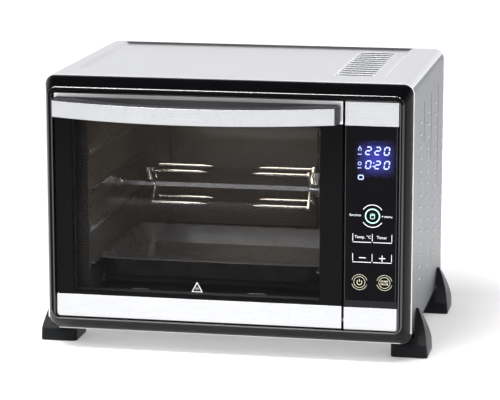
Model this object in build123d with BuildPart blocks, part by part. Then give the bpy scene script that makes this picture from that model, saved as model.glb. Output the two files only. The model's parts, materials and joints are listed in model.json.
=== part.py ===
"""Counter-top toaster oven with a rotisserie, built as an assembly of separate pieces.

Millimetres, +Z up, +X to the right seen from the front, the door faces -Y.
The origin is on the table under the middle of the oven.
"""
import math
import os

from build123d import *

os.makedirs("parts", exist_ok=True)

# ---------------------------------------------------------------- driving dimensions
BODY_WIDTH = 500.0          # steel casing, side to side
BODY_TOP = 377.0            # top of the casing above the table
BODY_BOTTOM = 26.0          # underside of the casing above the table
CASE_DEPTH = 345.0          # casing, front edge to rear edge
BEZEL_DEPTH = 25.0          # moulded front frame ahead of the casing
HANDLE_REACH = 84.0         # front of the handle ahead of the casing
REAR_REACH = 8.0            # pressing and cord gland behind the casing
SHEET = 1.2                 # casing sheet steel
CAVITY_SHEET = 1.0          # oven cavity sheet steel
CORNER_R = 14.5             # outer corners of the casing
FIT = 0.05                  # radial play of a running fit

HALF_W = BODY_WIDTH / 2
BODY_H = BODY_TOP - BODY_BOTTOM
BODY_MID_Z = BODY_BOTTOM + BODY_H / 2
Y_CASE = HANDLE_REACH - (HANDLE_REACH + CASE_DEPTH + REAR_REACH) / 2
Y_REAR = Y_CASE + CASE_DEPTH
Y_FRONT_PLATE = Y_CASE + 5.0
Y_CAVITY = Y_FRONT_PLATE + SHEET

# oven cavity, inner faces
CAV_LEFT = -193.0
CAV_RIGHT = 125.0
CAV_FLOOR = 70.0
CAV_TOP = 345.0
CAV_DEPTH = 285.0
Y_CAV_BACK = Y_CAVITY + CAV_DEPTH
CAV_MID_X = (CAV_LEFT + CAV_RIGHT) / 2
CAV_MID_Z = (CAV_FLOOR + CAV_TOP) / 2

# door
DOOR_LEFT = -232.0
DOOR_RIGHT = 158.5
DOOR_BOTTOM = 48.5
DOOR_TOP = 354.5
DOOR_FACE_SETBACK = 5.0     # door and panel faces lie this far behind the bezel rim
Y_FACE = Y_CASE - BEZEL_DEPTH + DOOR_FACE_SETBACK
TRIM_SHEET = 1.0
GLASS = 4.0
TRIM_H = 30.6
DOOR_FRAME_DEPTH = 16.0
Y_GLASS = Y_FACE + TRIM_SHEET
Y_DOOR_FRAME = Y_GLASS + GLASS
Y_DOOR_BACK = Y_DOOR_FRAME + DOOR_FRAME_DEPTH
WINDOW_LEFT = -208.0
WINDOW_RIGHT = 128.0
WINDOW_BOTTOM = 85.0
WINDOW_TOP = 318.0
GLASS_LAP = 6.0             # inner pane laps the window edge by this much
PIVOT_Y = Y_CASE - 10.0
PIVOT_Z = 58.0
PIN_R = 3.0

# handle
HANDLE_MID_X = -38.5
HANDLE_HALF = 191.5
HANDLE_FLARE = 2.5           # its ends widen by this towards the door
HANDLE_FACE_HALF = 189.3
HANDLE_Z0 = 325.4
HANDLE_Z1 = 348.8
HANDLE_BASE_TOP = 350.0
HANDLE_BASE_T = 4.0
HANDLE_END_PROUD = 23.0      # handle ends ahead of the door face
HANDLE_FACE_SHEET = 1.2
GRIP_T = 14.0

# control panel
PANEL_LEFT = 161.5
PANEL_RIGHT = 232.5
PANEL_BOTTOM = 47.8
PANEL_TOP = 354.3
TOUCH_BOTTOM = 88.0
TOUCH_TOP = 322.6
TOUCH_GLASS = 3.0
PANEL_WALL = 2.0

# rotisserie
SPIT_Y = Y_CASE + 150.0
SPIT_Z = 203.0
SPIT_SQ = 6.0
FORK_LEFT_X = -139.0
FORK_RIGHT_X = 94.0
FORK_R = 32.0
TINE_R = 2.0
TINE_LEN = 78.0
HUB_R = 8.0
HUB_LEN = 14.0
SCREW_R = 2.5

# hot-air fan in the right wall
FAN_Y = Y_CASE + 225.0
FAN_Z = 250.0
GRILLE_R = 50.0
IMPELLER_R = 42.0

# shelf guides and baking tray
GUIDE_Z = 116.2
GUIDE_PITCH = 52.5
GUIDE_LEDGE = 7.0
TRAY_RIM_Z = 116.5
TRAY_SHEET = 1.0
TRAY_DROP = 26.5
Y_TRAY = Y_CASE + 40.0
TRAY_LEN = 246.0

# heating rods
HEATER_R = 3.25
HEATER_Y = (Y_CASE + 80.0, Y_CASE + 210.0)
HEATER_TOP_Z = 335.0
HEATER_LOW_Z = 80.0

# feet
FOOT_W = 50.0
FOOT_L = 60.0
FOOT_APEX_Z = 63.0
FOOT_OUT = 18.5             # foot stands this far outside the casing
FOOT_Y = (Y_CASE + 55.0, Y_CASE + 305.0)
PAD_R = 12.0
PAD_PROUD = 1.0


# ---------------------------------------------------------------- helpers
def level(z):
    """Plane parallel to the table at height z."""
    return Plane.XY.offset(z)


def facing(y):
    """Upright plane at depth y; extrusions grow toward the front."""
    return Plane.XZ.offset(-y)


def side(x):
    """Upright plane at x; extrusions grow to the right."""
    return Plane.YZ.offset(x)


def block(x0, x1, y0, y1, z0, z1, mode=Mode.ADD):
    """Rectangular block between its limits, in the open part."""
    with BuildSketch(level(z0)) as base:
        with Locations(((x0 + x1) / 2, (y0 + y1) / 2)):
            Rectangle(x1 - x0, y1 - y0)
    extrude(base.sketch, amount=z1 - z0, mode=mode)


def discs(plane, points, radius, length, mode=Mode.ADD):
    """Round posts or bores standing on a plane, in the open part."""
    with BuildSketch(plane) as rounds:
        with Locations(*points):
            Circle(radius)
    extrude(rounds.sketch, amount=length, mode=mode)


def ring(plane, center, outer, inner, length, mode=Mode.ADD):
    """Round sleeve standing on a plane, in the open part."""
    with BuildSketch(plane) as band:
        with Locations(center):
            Circle(outer)
            Circle(inner, mode=Mode.SUBTRACT)
    extrude(band.sketch, amount=length, mode=mode)


def rounded(plane, center, width, height, radius, length, mode=Mode.ADD):
    """Rectangular plate with rounded corners, in the open part."""
    with BuildSketch(plane) as plate:
        with Locations(center):
            RectangleRounded(width, height, radius)
    extrude(plate.sketch, amount=length, mode=mode)


def slots(plane, points, length, width, depth, turn=0):
    """Round-ended slots cut into the open part."""
    with BuildSketch(plane) as cuts:
        with Locations(*points):
            SlotOverall(length, width, rotation=turn)
    extrude(cuts.sketch, amount=depth, mode=Mode.SUBTRACT)


def spread(first, step, count):
    """Evenly spaced positions."""
    return [first + step * i for i in range(count)]


def save(part, name):
    """Label a finished piece and write its file."""
    part.label = name
    export_step(part, "parts/" + name + ".step")


# ---------------------------------------------------------------- outer casing
FIELD_LEFT = -222.0
FIELD_RIGHT = 205.0
FIELD_DROP = 3.0
FIELD_FRONT = Y_CASE + 58.0
FIELD_SLOPE = 6.0
VENT_X = 159.0
VENT_LEN = 54.0
VENT_W = 7.0
VENT_COUNT = 12
VENT_PITCH = 20.0
DIMPLE_R = 3.0
DIMPLE_DEPTH = 0.5
DIMPLE_PITCH = 16.6
DIMPLE_COUNT = 14
DIMPLE_LOW_Z = 98.0
DIMPLE_Y = (78.0, 165.0, 248.0, 331.0)
GROOVE_Y = (113.0, 196.0, 279.0)
GROOVE_LOW_Z = (281.0, 240.0, 190.0)
GROOVE_TOP_Z = 337.0
GROOVE_W = 3.0
CASE_FLANGE = 12.0


def field_cut(rise, grow):
    """Pressed field in the top, open to the rear, as a tapered cut."""
    x0 = FIELD_LEFT - grow
    x1 = FIELD_RIGHT + grow
    y0 = FIELD_FRONT - grow
    top = BODY_TOP + rise
    mid_x = (x0 + x1) / 2
    y1 = Y_REAR + FIELD_SLOPE
    with BuildSketch(level(top)) as wide:
        with Locations((mid_x, (y0 + y1) / 2)):
            Rectangle(x1 - x0, y1 - y0)
    with BuildSketch(level(top - FIELD_DROP)) as narrow:
        with Locations((mid_x, (y0 + FIELD_SLOPE + y1) / 2)):
            Rectangle(x1 - x0 - 2 * FIELD_SLOPE, y1 - y0 - FIELD_SLOPE)
    return wide.sketch, narrow.sketch


BASE_HALF = HALF_W - CORNER_R   # base pan; the casing curls under to meet it


def case_outline(inset):
    """Upright cross-section of the casing, solid, inset by a sheet thickness."""
    with BuildSketch(facing(Y_REAR)) as outline:
        with Locations((0, BODY_MID_Z)):
            RectangleRounded(BODY_WIDTH - 2 * inset, BODY_H - 2 * inset, CORNER_R - inset)
    return outline.sketch


with BuildPart() as casing_core:
    extrude(case_outline(SHEET), amount=CASE_DEPTH)
    inner_wide, inner_narrow = field_cut(-SHEET, SHEET)
    loft([inner_wide, inner_narrow], mode=Mode.SUBTRACT)

with BuildPart() as outer_casing:
    extrude(case_outline(0), amount=CASE_DEPTH)
    outer_wide, outer_narrow = field_cut(0, 0)
    loft([outer_wide, outer_narrow], mode=Mode.SUBTRACT)
    add(casing_core.part, mode=Mode.SUBTRACT)
    block(
        -BASE_HALF, BASE_HALF, Y_CASE, Y_REAR, BODY_BOTTOM, BODY_BOTTOM + SHEET,
        mode=Mode.SUBTRACT,
    )
    slots(
        level(BODY_TOP - FIELD_DROP - 2 * SHEET),
        [(VENT_X, Y_CASE + 86.0 + VENT_PITCH * i) for i in range(VENT_COUNT)],
        VENT_LEN, VENT_W, 3 * SHEET,
    )
    for flank in (-1, 1):
        block(
            *sorted((flank * (HALF_W - SHEET), flank * (HALF_W - CASE_FLANGE))),
            Y_REAR - SHEET, Y_REAR, BODY_BOTTOM + 2 * CORNER_R, BODY_TOP - 2 * CORNER_R,
        )
        dimple_x = flank * HALF_W - (DIMPLE_DEPTH if flank > 0 else 0)
        spots = [
            (Y_CASE + y, z)
            for y in DIMPLE_Y
            for z in spread(DIMPLE_LOW_Z, DIMPLE_PITCH, DIMPLE_COUNT)
        ]
        discs(side(dimple_x), spots, DIMPLE_R, DIMPLE_DEPTH, Mode.SUBTRACT)
        for y, low in zip(GROOVE_Y, GROOVE_LOW_Z):
            slots(
                side(dimple_x), [(Y_CASE + y, (low + GROOVE_TOP_Z) / 2)],
                GROOVE_TOP_Z - low, GROOVE_W, DIMPLE_DEPTH, turn=90,
            )
    REAR_SCREW_SPOTS = [
        (x, z) for x in (-HALF_W + 7.0, HALF_W - 7.0) for z in (70.0, 200.0, 330.0)
    ]
    discs(facing(Y_REAR), REAR_SCREW_SPOTS, 1.8, 2 * SHEET, Mode.SUBTRACT)
save(outer_casing.part, "outer_casing")

# ---------------------------------------------------------------- base plate
BASE_FLANGE_Z = 44.0
FOOT_SCREW_X = HALF_W - 21.0
FOOT_SCREW_R = 2.0
FOOT_SCREW_SPOTS = [(x, y) for x in (-FOOT_SCREW_X, FOOT_SCREW_X) for y in FOOT_Y]
BASE_FRONT_FLANGE = 50.0

with BuildPart() as base_plate:
    block(-BASE_HALF, BASE_HALF, Y_CASE, Y_REAR - SHEET, BODY_BOTTOM, BODY_BOTTOM + SHEET)
    for flank in (-1, 1):
        block(
            *sorted((flank * BASE_HALF, flank * (BASE_HALF - SHEET))),
            Y_CAVITY, Y_REAR - SHEET, BODY_BOTTOM + SHEET, BASE_FLANGE_Z,
        )
    block(
        -BASE_HALF + 10, BASE_HALF - 10, Y_CAVITY, Y_CAVITY + SHEET,
        BODY_BOTTOM + SHEET, BASE_FRONT_FLANGE,
    )
    slots(
        level(BODY_BOTTOM),
        [(x, Y_CASE + y) for x in spread(-150.0, 60.0, 6) for y in (120.0, 240.0)],
        40.0, 5.0, SHEET, turn=90,
    )
    discs(level(BODY_BOTTOM), FOOT_SCREW_SPOTS, FOOT_SCREW_R, SHEET, Mode.SUBTRACT)
save(base_plate.part, "base_plate")

# ---------------------------------------------------------------- rear cover
PRESS_LEFT = -175.0
PRESS_RIGHT = 165.0
PRESS_Z0 = 90.0
PRESS_Z1 = 335.0
PRESS_OUT = REAR_REACH - SHEET
GLAND_X = 212.0
GLAND_Z = 62.0
GLAND_R = 7.0
PRESS_MID = ((PRESS_LEFT + PRESS_RIGHT) / 2, (PRESS_Z0 + PRESS_Z1) / 2)
PRESS_W = PRESS_RIGHT - PRESS_LEFT
PRESS_H = PRESS_Z1 - PRESS_Z0

with BuildPart() as rear_cover:
    rounded(
        facing(Y_REAR + SHEET), (0, BODY_MID_Z), BODY_WIDTH, BODY_H, CORNER_R, SHEET,
    )
    with BuildSketch(facing(Y_REAR + SHEET)):
        with Locations(PRESS_MID):
            RectangleRounded(PRESS_W, PRESS_H, 12)
    with BuildSketch(facing(Y_REAR + REAR_REACH)):
        with Locations(PRESS_MID):
            RectangleRounded(PRESS_W - 2 * PRESS_OUT, PRESS_H - 2 * PRESS_OUT, 8)
    loft()
    with BuildSketch(facing(Y_REAR)):
        with Locations(PRESS_MID):
            RectangleRounded(PRESS_W - 2 * SHEET, PRESS_H - 2 * SHEET, 11)
    with BuildSketch(facing(Y_REAR + REAR_REACH - SHEET)):
        with Locations(PRESS_MID):
            RectangleRounded(
                PRESS_W - 2 * SHEET - 2 * PRESS_OUT, PRESS_H - 2 * SHEET - 2 * PRESS_OUT, 7,
            )
    loft(mode=Mode.SUBTRACT)
    slots(
        facing(Y_REAR + REAR_REACH),
        [(x, z) for x in spread(-125.0, 50.0, 6) for z in spread(125.0, 14.0, 14)],
        36.0, 4.0, REAR_REACH,
    )
    discs(facing(Y_REAR + SHEET), REAR_SCREW_SPOTS, 1.8, SHEET, Mode.SUBTRACT)
    discs(facing(Y_REAR + SHEET), [(GLAND_X, GLAND_Z)], GLAND_R, SHEET, Mode.SUBTRACT)
save(rear_cover.part, "rear_cover")

with BuildPart() as cord_gland:
    discs(facing(Y_REAR + REAR_REACH), [(GLAND_X, GLAND_Z)], GLAND_R, REAR_REACH + 5.0)
    ring(facing(Y_REAR + SHEET + 3.0), (GLAND_X, GLAND_Z), GLAND_R + 3, GLAND_R, 3.0)
    ring(facing(Y_REAR), (GLAND_X, GLAND_Z), GLAND_R + 3, GLAND_R, 3.0)
    discs(
        facing(Y_REAR + REAR_REACH), [(GLAND_X, GLAND_Z)], 3.75, REAR_REACH + 5.0, Mode.SUBTRACT,
    )
save(cord_gland.part, "cord_gland")

with BuildPart() as rear_screws:
    discs(facing(Y_REAR + SHEET + 2.4), REAR_SCREW_SPOTS, 4.0, 2.4)
    discs(facing(Y_REAR + SHEET), REAR_SCREW_SPOTS, 1.8, 9.0)
    fillet(rear_screws.edges().group_by(Axis.Y)[-1], 1.2)
save(rear_screws.part, "rear_screws")

# ---------------------------------------------------------------- front bezel
RIM_LEFT = -239.5
RIM_RIGHT = 239.6
RIM_Z0 = 46.0
RIM_Z1 = 363.0
RIM_R = 12.0
OPENING_LEFT = -233.5
OPENING_RIGHT = 234.0
OPENING_Z0 = 47.0
OPENING_Z1 = 356.0
BEZEL_WALL = 2.6
POCKET_DEPTH = BEZEL_DEPTH - 3.0


def bezel_section(y_forward, inset):
    """Rounded outline of the tapering bezel at a distance ahead of the casing."""
    t = y_forward / BEZEL_DEPTH
    half = HALF_W + (RIM_RIGHT - HALF_W) * t - inset
    z0 = BODY_BOTTOM + (RIM_Z0 - BODY_BOTTOM) * t + inset
    z1 = BODY_TOP + (RIM_Z1 - BODY_TOP) * t - inset
    radius = CORNER_R + (RIM_R - CORNER_R) * t - inset
    with BuildSketch(facing(Y_CASE - y_forward)) as outline:
        with Locations((0, (z0 + z1) / 2)):
            RectangleRounded(2 * half, z1 - z0, radius)
    return outline.sketch


BEZEL_POSTS = [(x, z) for x in (-243.3, 243.3) for z in (100.0, 300.0)]
with BuildPart() as front_bezel:
    loft([bezel_section(0, 0), bezel_section(BEZEL_DEPTH, 0)])
    loft([bezel_section(0, BEZEL_WALL), bezel_section(POCKET_DEPTH, BEZEL_WALL)],
         mode=Mode.SUBTRACT)
    block(
        OPENING_LEFT, OPENING_RIGHT, Y_CASE - BEZEL_DEPTH, Y_CASE, OPENING_Z0, OPENING_Z1,
        mode=Mode.SUBTRACT,
    )
    discs(facing(Y_FRONT_PLATE), BEZEL_POSTS, 2.6, 14.0)
save(front_bezel.part, "front_bezel")

# ---------------------------------------------------------------- chassis front plate
PLATE_HALF = HALF_W - 3.0
PLATE_Z0 = 34.0
PLATE_Z1 = 369.0
STAY_R = 70.0
STAY_W = 7.0
STAY_T = 2.0
STAY_X = (-229.0, 153.5)
STAY_SLOT_Z = PIVOT_Z + math.sqrt(STAY_R**2 - (Y_CAVITY - PIVOT_Y) ** 2)

with BuildPart() as front_plate:
    rounded(
        facing(Y_CAVITY), (0, (PLATE_Z0 + PLATE_Z1) / 2), 2 * PLATE_HALF,
        PLATE_Z1 - PLATE_Z0, 10, SHEET,
    )
    block(
        CAV_LEFT, CAV_RIGHT, Y_FRONT_PLATE, Y_CAVITY, CAV_FLOOR, CAV_TOP, mode=Mode.SUBTRACT,
    )
    for x in STAY_X:
        block(
            x - 1.5, x + STAY_T + 1.5, Y_FRONT_PLATE, Y_CAVITY,
            STAY_SLOT_Z - 9.0, STAY_SLOT_Z + 9.0, mode=Mode.SUBTRACT,
        )
    block(
        PANEL_LEFT + 14, PANEL_RIGHT - 8, Y_FRONT_PLATE, Y_CAVITY, 110.0, 320.0,
        mode=Mode.SUBTRACT,
    )
save(front_plate.part, "front_plate")

# ---------------------------------------------------------------- oven cavity
HEATER_Z = (HEATER_LOW_Z, HEATER_TOP_Z)
HEATER_SPOTS = [(y, z) for y in HEATER_Y for z in HEATER_Z]
INSULATOR_R = 5.0
LAMP_Y = Y_CASE + 230.0
LAMP_Z = 302.0
LAMP_HOLE_R = 16.0
PROBE_Y = Y_CASE + 100.0
PROBE_Z = 315.0
PROBE_R = 3.0


def cavity_side(x0):
    """One upright side sheet of the cavity, with the heater bushing holes."""
    block(x0, x0 + CAVITY_SHEET, Y_CAVITY, Y_CAV_BACK, CAV_FLOOR - CAVITY_SHEET,
          CAV_TOP + CAVITY_SHEET)
    discs(side(x0), HEATER_SPOTS, INSULATOR_R, CAVITY_SHEET, Mode.SUBTRACT)


with BuildPart() as cavity_left:
    cavity_side(CAV_LEFT - CAVITY_SHEET)
    discs(side(CAV_LEFT - CAVITY_SHEET), [(LAMP_Y, LAMP_Z)], LAMP_HOLE_R, CAVITY_SHEET,
          Mode.SUBTRACT)
save(cavity_left.part, "cavity_left")

with BuildPart() as cavity_right:
    cavity_side(CAV_RIGHT)
    discs(side(CAV_RIGHT), [(SPIT_Y, SPIT_Z)], 5.0, CAVITY_SHEET, Mode.SUBTRACT)
    discs(side(CAV_RIGHT), [(FAN_Y, FAN_Z)], 4.0, CAVITY_SHEET, Mode.SUBTRACT)
    discs(side(CAV_RIGHT), [(PROBE_Y, PROBE_Z)], PROBE_R, CAVITY_SHEET, Mode.SUBTRACT)
save(cavity_right.part, "cavity_right")

with BuildPart() as cavity_ceiling:
    block(CAV_LEFT, CAV_RIGHT, Y_CAVITY, Y_CAV_BACK, CAV_TOP, CAV_TOP + CAVITY_SHEET)
save(cavity_ceiling.part, "cavity_ceiling")

with BuildPart() as cavity_floor:
    block(CAV_LEFT, CAV_RIGHT, Y_CAVITY, Y_CAV_BACK, CAV_FLOOR - CAVITY_SHEET, CAV_FLOOR)
save(cavity_floor.part, "cavity_floor")

with BuildPart() as cavity_back:
    block(
        CAV_LEFT - CAVITY_SHEET, CAV_RIGHT + CAVITY_SHEET, Y_CAV_BACK,
        Y_CAV_BACK + CAVITY_SHEET, CAV_FLOOR - CAVITY_SHEET, CAV_TOP + CAVITY_SHEET,
    )
    block(
        CAV_MID_X - 110, CAV_MID_X + 110, Y_CAV_BACK - 3, Y_CAV_BACK, CAV_MID_Z - 90,
        CAV_MID_Z + 90,
    )
    fillet(
        cavity_back.faces().sort_by(Axis.Y)[0].edges(), 2.5,
    )
    block(
        CAV_MID_X - 106, CAV_MID_X + 106, Y_CAV_BACK - 2, Y_CAV_BACK + CAVITY_SHEET,
        CAV_MID_Z - 86, CAV_MID_Z + 86, mode=Mode.SUBTRACT,
    )
save(cavity_back.part, "cavity_back")


# ---------------------------------------------------------------- shelf guides
GUIDE_WEB = 10.0
GUIDE_T = 1.0
GUIDE_LEVELS = spread(GUIDE_Z, GUIDE_PITCH, 4)
GUIDE_Y0 = Y_CASE + 12.0
GUIDE_Y1 = Y_CAV_BACK - 3.0
GUIDE_SHORT_Y1 = FAN_Y - GRILLE_R - 5.0


def guide_rails(wall_x, inward, ends):
    """Angle rails spot-welded to a side sheet; inward is +1 or -1."""
    for z, y1 in zip(GUIDE_LEVELS, ends):
        web = sorted((wall_x, wall_x + inward * GUIDE_T))
        ledge = sorted((wall_x, wall_x + inward * GUIDE_LEDGE))
        block(*web, GUIDE_Y0, y1, z - GUIDE_WEB, z)
        block(*ledge, GUIDE_Y0, y1, z - GUIDE_T, z)


with BuildPart() as left_guides:
    guide_rails(CAV_LEFT, 1, [GUIDE_Y1] * 4)
save(left_guides.part, "left_guides")

with BuildPart() as right_guides:
    guide_rails(CAV_RIGHT, -1, [GUIDE_Y1, GUIDE_Y1, GUIDE_SHORT_Y1, GUIDE_SHORT_Y1])
save(right_guides.part, "right_guides")

# ---------------------------------------------------------------- heaters
INSULATOR_OUT = 12.0
HEATER_X0 = CAV_LEFT - CAVITY_SHEET - INSULATOR_OUT - 8.0
HEATER_X1 = CAV_RIGHT + CAVITY_SHEET + INSULATOR_OUT + 8.0

with BuildPart() as upper_heaters:
    discs(side(HEATER_X0), [(y, HEATER_TOP_Z) for y in HEATER_Y], HEATER_R,
          HEATER_X1 - HEATER_X0)
save(upper_heaters.part, "upper_heaters")

with BuildPart() as lower_heaters:
    discs(side(HEATER_X0), [(y, HEATER_LOW_Z) for y in HEATER_Y], HEATER_R,
          HEATER_X1 - HEATER_X0)
save(lower_heaters.part, "lower_heaters")

with BuildPart() as heater_insulators:
    inside_left = side(CAV_LEFT - CAVITY_SHEET)
    inside_right = side(CAV_RIGHT)
    discs(inside_left, HEATER_SPOTS, INSULATOR_R, CAVITY_SHEET + 3)
    discs(side(CAV_LEFT - CAVITY_SHEET - INSULATOR_OUT), HEATER_SPOTS, 7.0, INSULATOR_OUT)
    discs(side(CAV_RIGHT - 3), HEATER_SPOTS, INSULATOR_R, CAVITY_SHEET + 3)
    discs(side(CAV_RIGHT + CAVITY_SHEET), HEATER_SPOTS, 7.0, INSULATOR_OUT)
    discs(side(HEATER_X0), HEATER_SPOTS, HEATER_R, HEATER_X1 - HEATER_X0, Mode.SUBTRACT)
save(heater_insulators.part, "heater_insulators")

# ---------------------------------------------------------------- hot-air fan
GRILLE_DEPTH = 14.0
GRILLE_SHEET = 1.0
GRILLE_X = CAV_RIGHT - GRILLE_DEPTH
FAN_SHAFT_R = 3.0
BLADE_COUNT = 10
BLADE_LEN = 35.0
BLADE_MID_R = 22.5

with BuildPart() as fan_grille:
    discs(side(GRILLE_X), [(FAN_Y, FAN_Z)], GRILLE_R, GRILLE_SHEET)
    ring(side(GRILLE_X), (FAN_Y, FAN_Z), GRILLE_R, GRILLE_R - GRILLE_SHEET, GRILLE_DEPTH)
    for turn in range(1, 7):
        with BuildSketch(side(GRILLE_X)):
            with Locations((FAN_Y, FAN_Z)):
                with PolarLocations(7.0 * turn, 6 * turn):
                    Circle(2.2)
        extrude(amount=GRILLE_SHEET, mode=Mode.SUBTRACT)
save(fan_grille.part, "fan_grille")

with BuildPart() as fan_impeller:
    discs(side(CAV_RIGHT - 3.0), [(FAN_Y, FAN_Z)], IMPELLER_R, GRILLE_SHEET)
    discs(side(CAV_RIGHT - 11.0), [(FAN_Y, FAN_Z)], 7.0, 9.0)
    discs(side(CAV_RIGHT - 3.0), [(FAN_Y, FAN_Z)], FAN_SHAFT_R, 24.0)
    with BuildSketch(side(CAV_RIGHT - 11.0)):
        with Locations((FAN_Y, FAN_Z)):
            with PolarLocations(BLADE_MID_R, BLADE_COUNT):
                Rectangle(BLADE_LEN, 1.2)
    extrude(amount=8.0)
save(fan_impeller.part, "fan_impeller")

MOTOR_X = CAV_RIGHT + CAVITY_SHEET
with BuildPart() as fan_motor:
    block(MOTOR_X, MOTOR_X + 3, FAN_Y - 32, FAN_Y + 32, FAN_Z - 10, FAN_Z + 10)
    discs(side(MOTOR_X + 3), [(FAN_Y, FAN_Z)], 12.0, 5.0)
    block(MOTOR_X + 8, MOTOR_X + 26, FAN_Y - 28, FAN_Y + 28, FAN_Z - 24, FAN_Z + 36)
    block(MOTOR_X + 3, MOTOR_X + 31, FAN_Y - 16, FAN_Y + 16, FAN_Z + 14, FAN_Z + 32)
    discs(side(MOTOR_X + 26), [(FAN_Y, FAN_Z)], 12.0, 6.0)
    discs(side(MOTOR_X), [(FAN_Y, FAN_Z)], FAN_SHAFT_R + FIT, 22.0, Mode.SUBTRACT)
save(fan_motor.part, "fan_motor")

# ---------------------------------------------------------------- rotisserie
BEARING_R = 7.0
BEARING_LEN = 10.0
COUPLING_R = 7.5
COUPLING_X0 = 108.0
COUPLING_X1 = CAV_RIGHT - 0.5
SHAFT_R = 4.0
SHAFT_LEN = 16.0
SPIT_X0 = CAV_LEFT + 1.5
SOCKET_DEPTH = 10.0
spit_axis = (SPIT_Y, SPIT_Z)

with BuildPart() as spit_bearing:
    discs(side(CAV_LEFT), [spit_axis], BEARING_R, BEARING_LEN)
    discs(side(CAV_LEFT), [spit_axis], SPIT_SQ / 2 + FIT, BEARING_LEN, Mode.SUBTRACT)
save(spit_bearing.part, "spit_bearing")

with BuildPart() as spit_motor:
    discs(side(MOTOR_X), [spit_axis], 25.0, 20.0)
    block(
        MOTOR_X, MOTOR_X + 1.5, SPIT_Y - 34.0, SPIT_Y + 34.0, SPIT_Z - 7.0, SPIT_Z + 7.0,
    )
    discs(side(MOTOR_X), [spit_axis], SHAFT_R + FIT, SHAFT_LEN + 1.0, Mode.SUBTRACT)
save(spit_motor.part, "spit_motor")

with BuildPart() as spit_rod:
    discs(side(SPIT_X0), [spit_axis], SPIT_SQ / 2, BEARING_LEN + 2)
    with BuildSketch(side(SPIT_X0 + BEARING_LEN + 1)):
        with Locations(spit_axis):
            Rectangle(SPIT_SQ, SPIT_SQ)
    extrude(amount=COUPLING_X0 + SOCKET_DEPTH - SPIT_X0 - BEARING_LEN - 1)
save(spit_rod.part, "spit_rod")

with BuildPart() as drive_coupling:
    discs(side(COUPLING_X0), [spit_axis], COUPLING_R, COUPLING_X1 - COUPLING_X0)
    discs(side(COUPLING_X1), [spit_axis], SHAFT_R, SHAFT_LEN)
    with BuildSketch(side(COUPLING_X0)):
        with Locations(spit_axis):
            Rectangle(SPIT_SQ, SPIT_SQ)
    extrude(amount=SOCKET_DEPTH, mode=Mode.SUBTRACT)
save(drive_coupling.part, "drive_coupling")

FORK_HOLE = SPIT_SQ + 0.7
SCREW_BOSS_TOP = 14.0
SCREW_BOSS_R = 4.6


def fork(hub_x, inward):
    """Four-tined meat fork on its hub; inward is the way the tines point."""
    x0 = hub_x - HUB_LEN / 2
    screw_x = hub_x - 2.0 * inward
    arm_x = hub_x + inward * (HUB_LEN / 2 - 1.5)
    discs(side(x0), [spit_axis], HUB_R, HUB_LEN)
    discs(level(SPIT_Z), [(screw_x, SPIT_Y)], SCREW_BOSS_R, SCREW_BOSS_TOP)
    with BuildSketch(side(arm_x - 1.5)) as arms:
        with Locations(spit_axis):
            Rectangle(2 * FORK_R + 6, 6, rotation=45)
            Rectangle(2 * FORK_R + 6, 6, rotation=-45)
    extrude(arms.sketch, amount=3.0)
    spots = [
        (SPIT_Y + FORK_R * math.cos(a), SPIT_Z + FORK_R * math.sin(a))
        for a in (math.pi / 4 + math.pi / 2 * i for i in range(4))
    ]
    tip_x = arm_x + inward * TINE_LEN
    near, far = sorted((arm_x, tip_x - inward * 12.0))
    discs(side(near), spots, TINE_R, far - near)
    for y, z in spots:
        with BuildSketch(side(tip_x - inward * 12.0)) as root:
            with Locations((y, z)):
                Circle(TINE_R)
        with BuildSketch(side(tip_x)) as tip:
            with Locations((y, z)):
                Circle(TINE_R / 5)
        loft([root.sketch, tip.sketch])
    with BuildSketch(side(x0)) as hole:
        with Locations(spit_axis):
            Rectangle(FORK_HOLE, FORK_HOLE)
    extrude(hole.sketch, amount=HUB_LEN, mode=Mode.SUBTRACT)
    discs(level(SPIT_Z), [(screw_x, SPIT_Y)], SCREW_R + FIT, SCREW_BOSS_TOP, Mode.SUBTRACT)


def thumbscrew(hub_x, inward):
    """Knurled thumbscrew standing on the fork hub."""
    screw_x = hub_x - 2.0 * inward
    discs(level(SPIT_Z + SPIT_SQ / 2 + 0.4), [(screw_x, SPIT_Y)], SCREW_R, 14.0)
    with BuildSketch(level(SPIT_Z + SCREW_BOSS_TOP + 1.0)) as knob:
        with Locations((screw_x, SPIT_Y)):
            Circle(6.5)
            with PolarLocations(6.8, 16):
                Circle(0.8, mode=Mode.SUBTRACT)
    extrude(knob.sketch, amount=8.0)


with BuildPart() as left_fork:
    fork(FORK_LEFT_X, 1)
save(left_fork.part, "left_fork")

with BuildPart() as right_fork:
    fork(FORK_RIGHT_X, -1)
save(right_fork.part, "right_fork")

with BuildPart() as left_thumbscrew:
    thumbscrew(FORK_LEFT_X, 1)
save(left_thumbscrew.part, "left_thumbscrew")

with BuildPart() as right_thumbscrew:
    thumbscrew(FORK_RIGHT_X, -1)
save(right_thumbscrew.part, "right_thumbscrew")

# ---------------------------------------------------------------- baking tray
TRAY_RIM_W = 9.0
TRAY_SIDE_GAP = 2.0
TRAY_X0 = CAV_LEFT + TRAY_SIDE_GAP
TRAY_X1 = CAV_RIGHT - TRAY_SIDE_GAP
TRAY_TOP = TRAY_RIM_Z + TRAY_SHEET
TRAY_MID = ((TRAY_X0 + TRAY_X1) / 2, Y_TRAY + TRAY_LEN / 2)
TRAY_W = TRAY_X1 - TRAY_X0
TRAY_TAPER = 8.0


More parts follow.
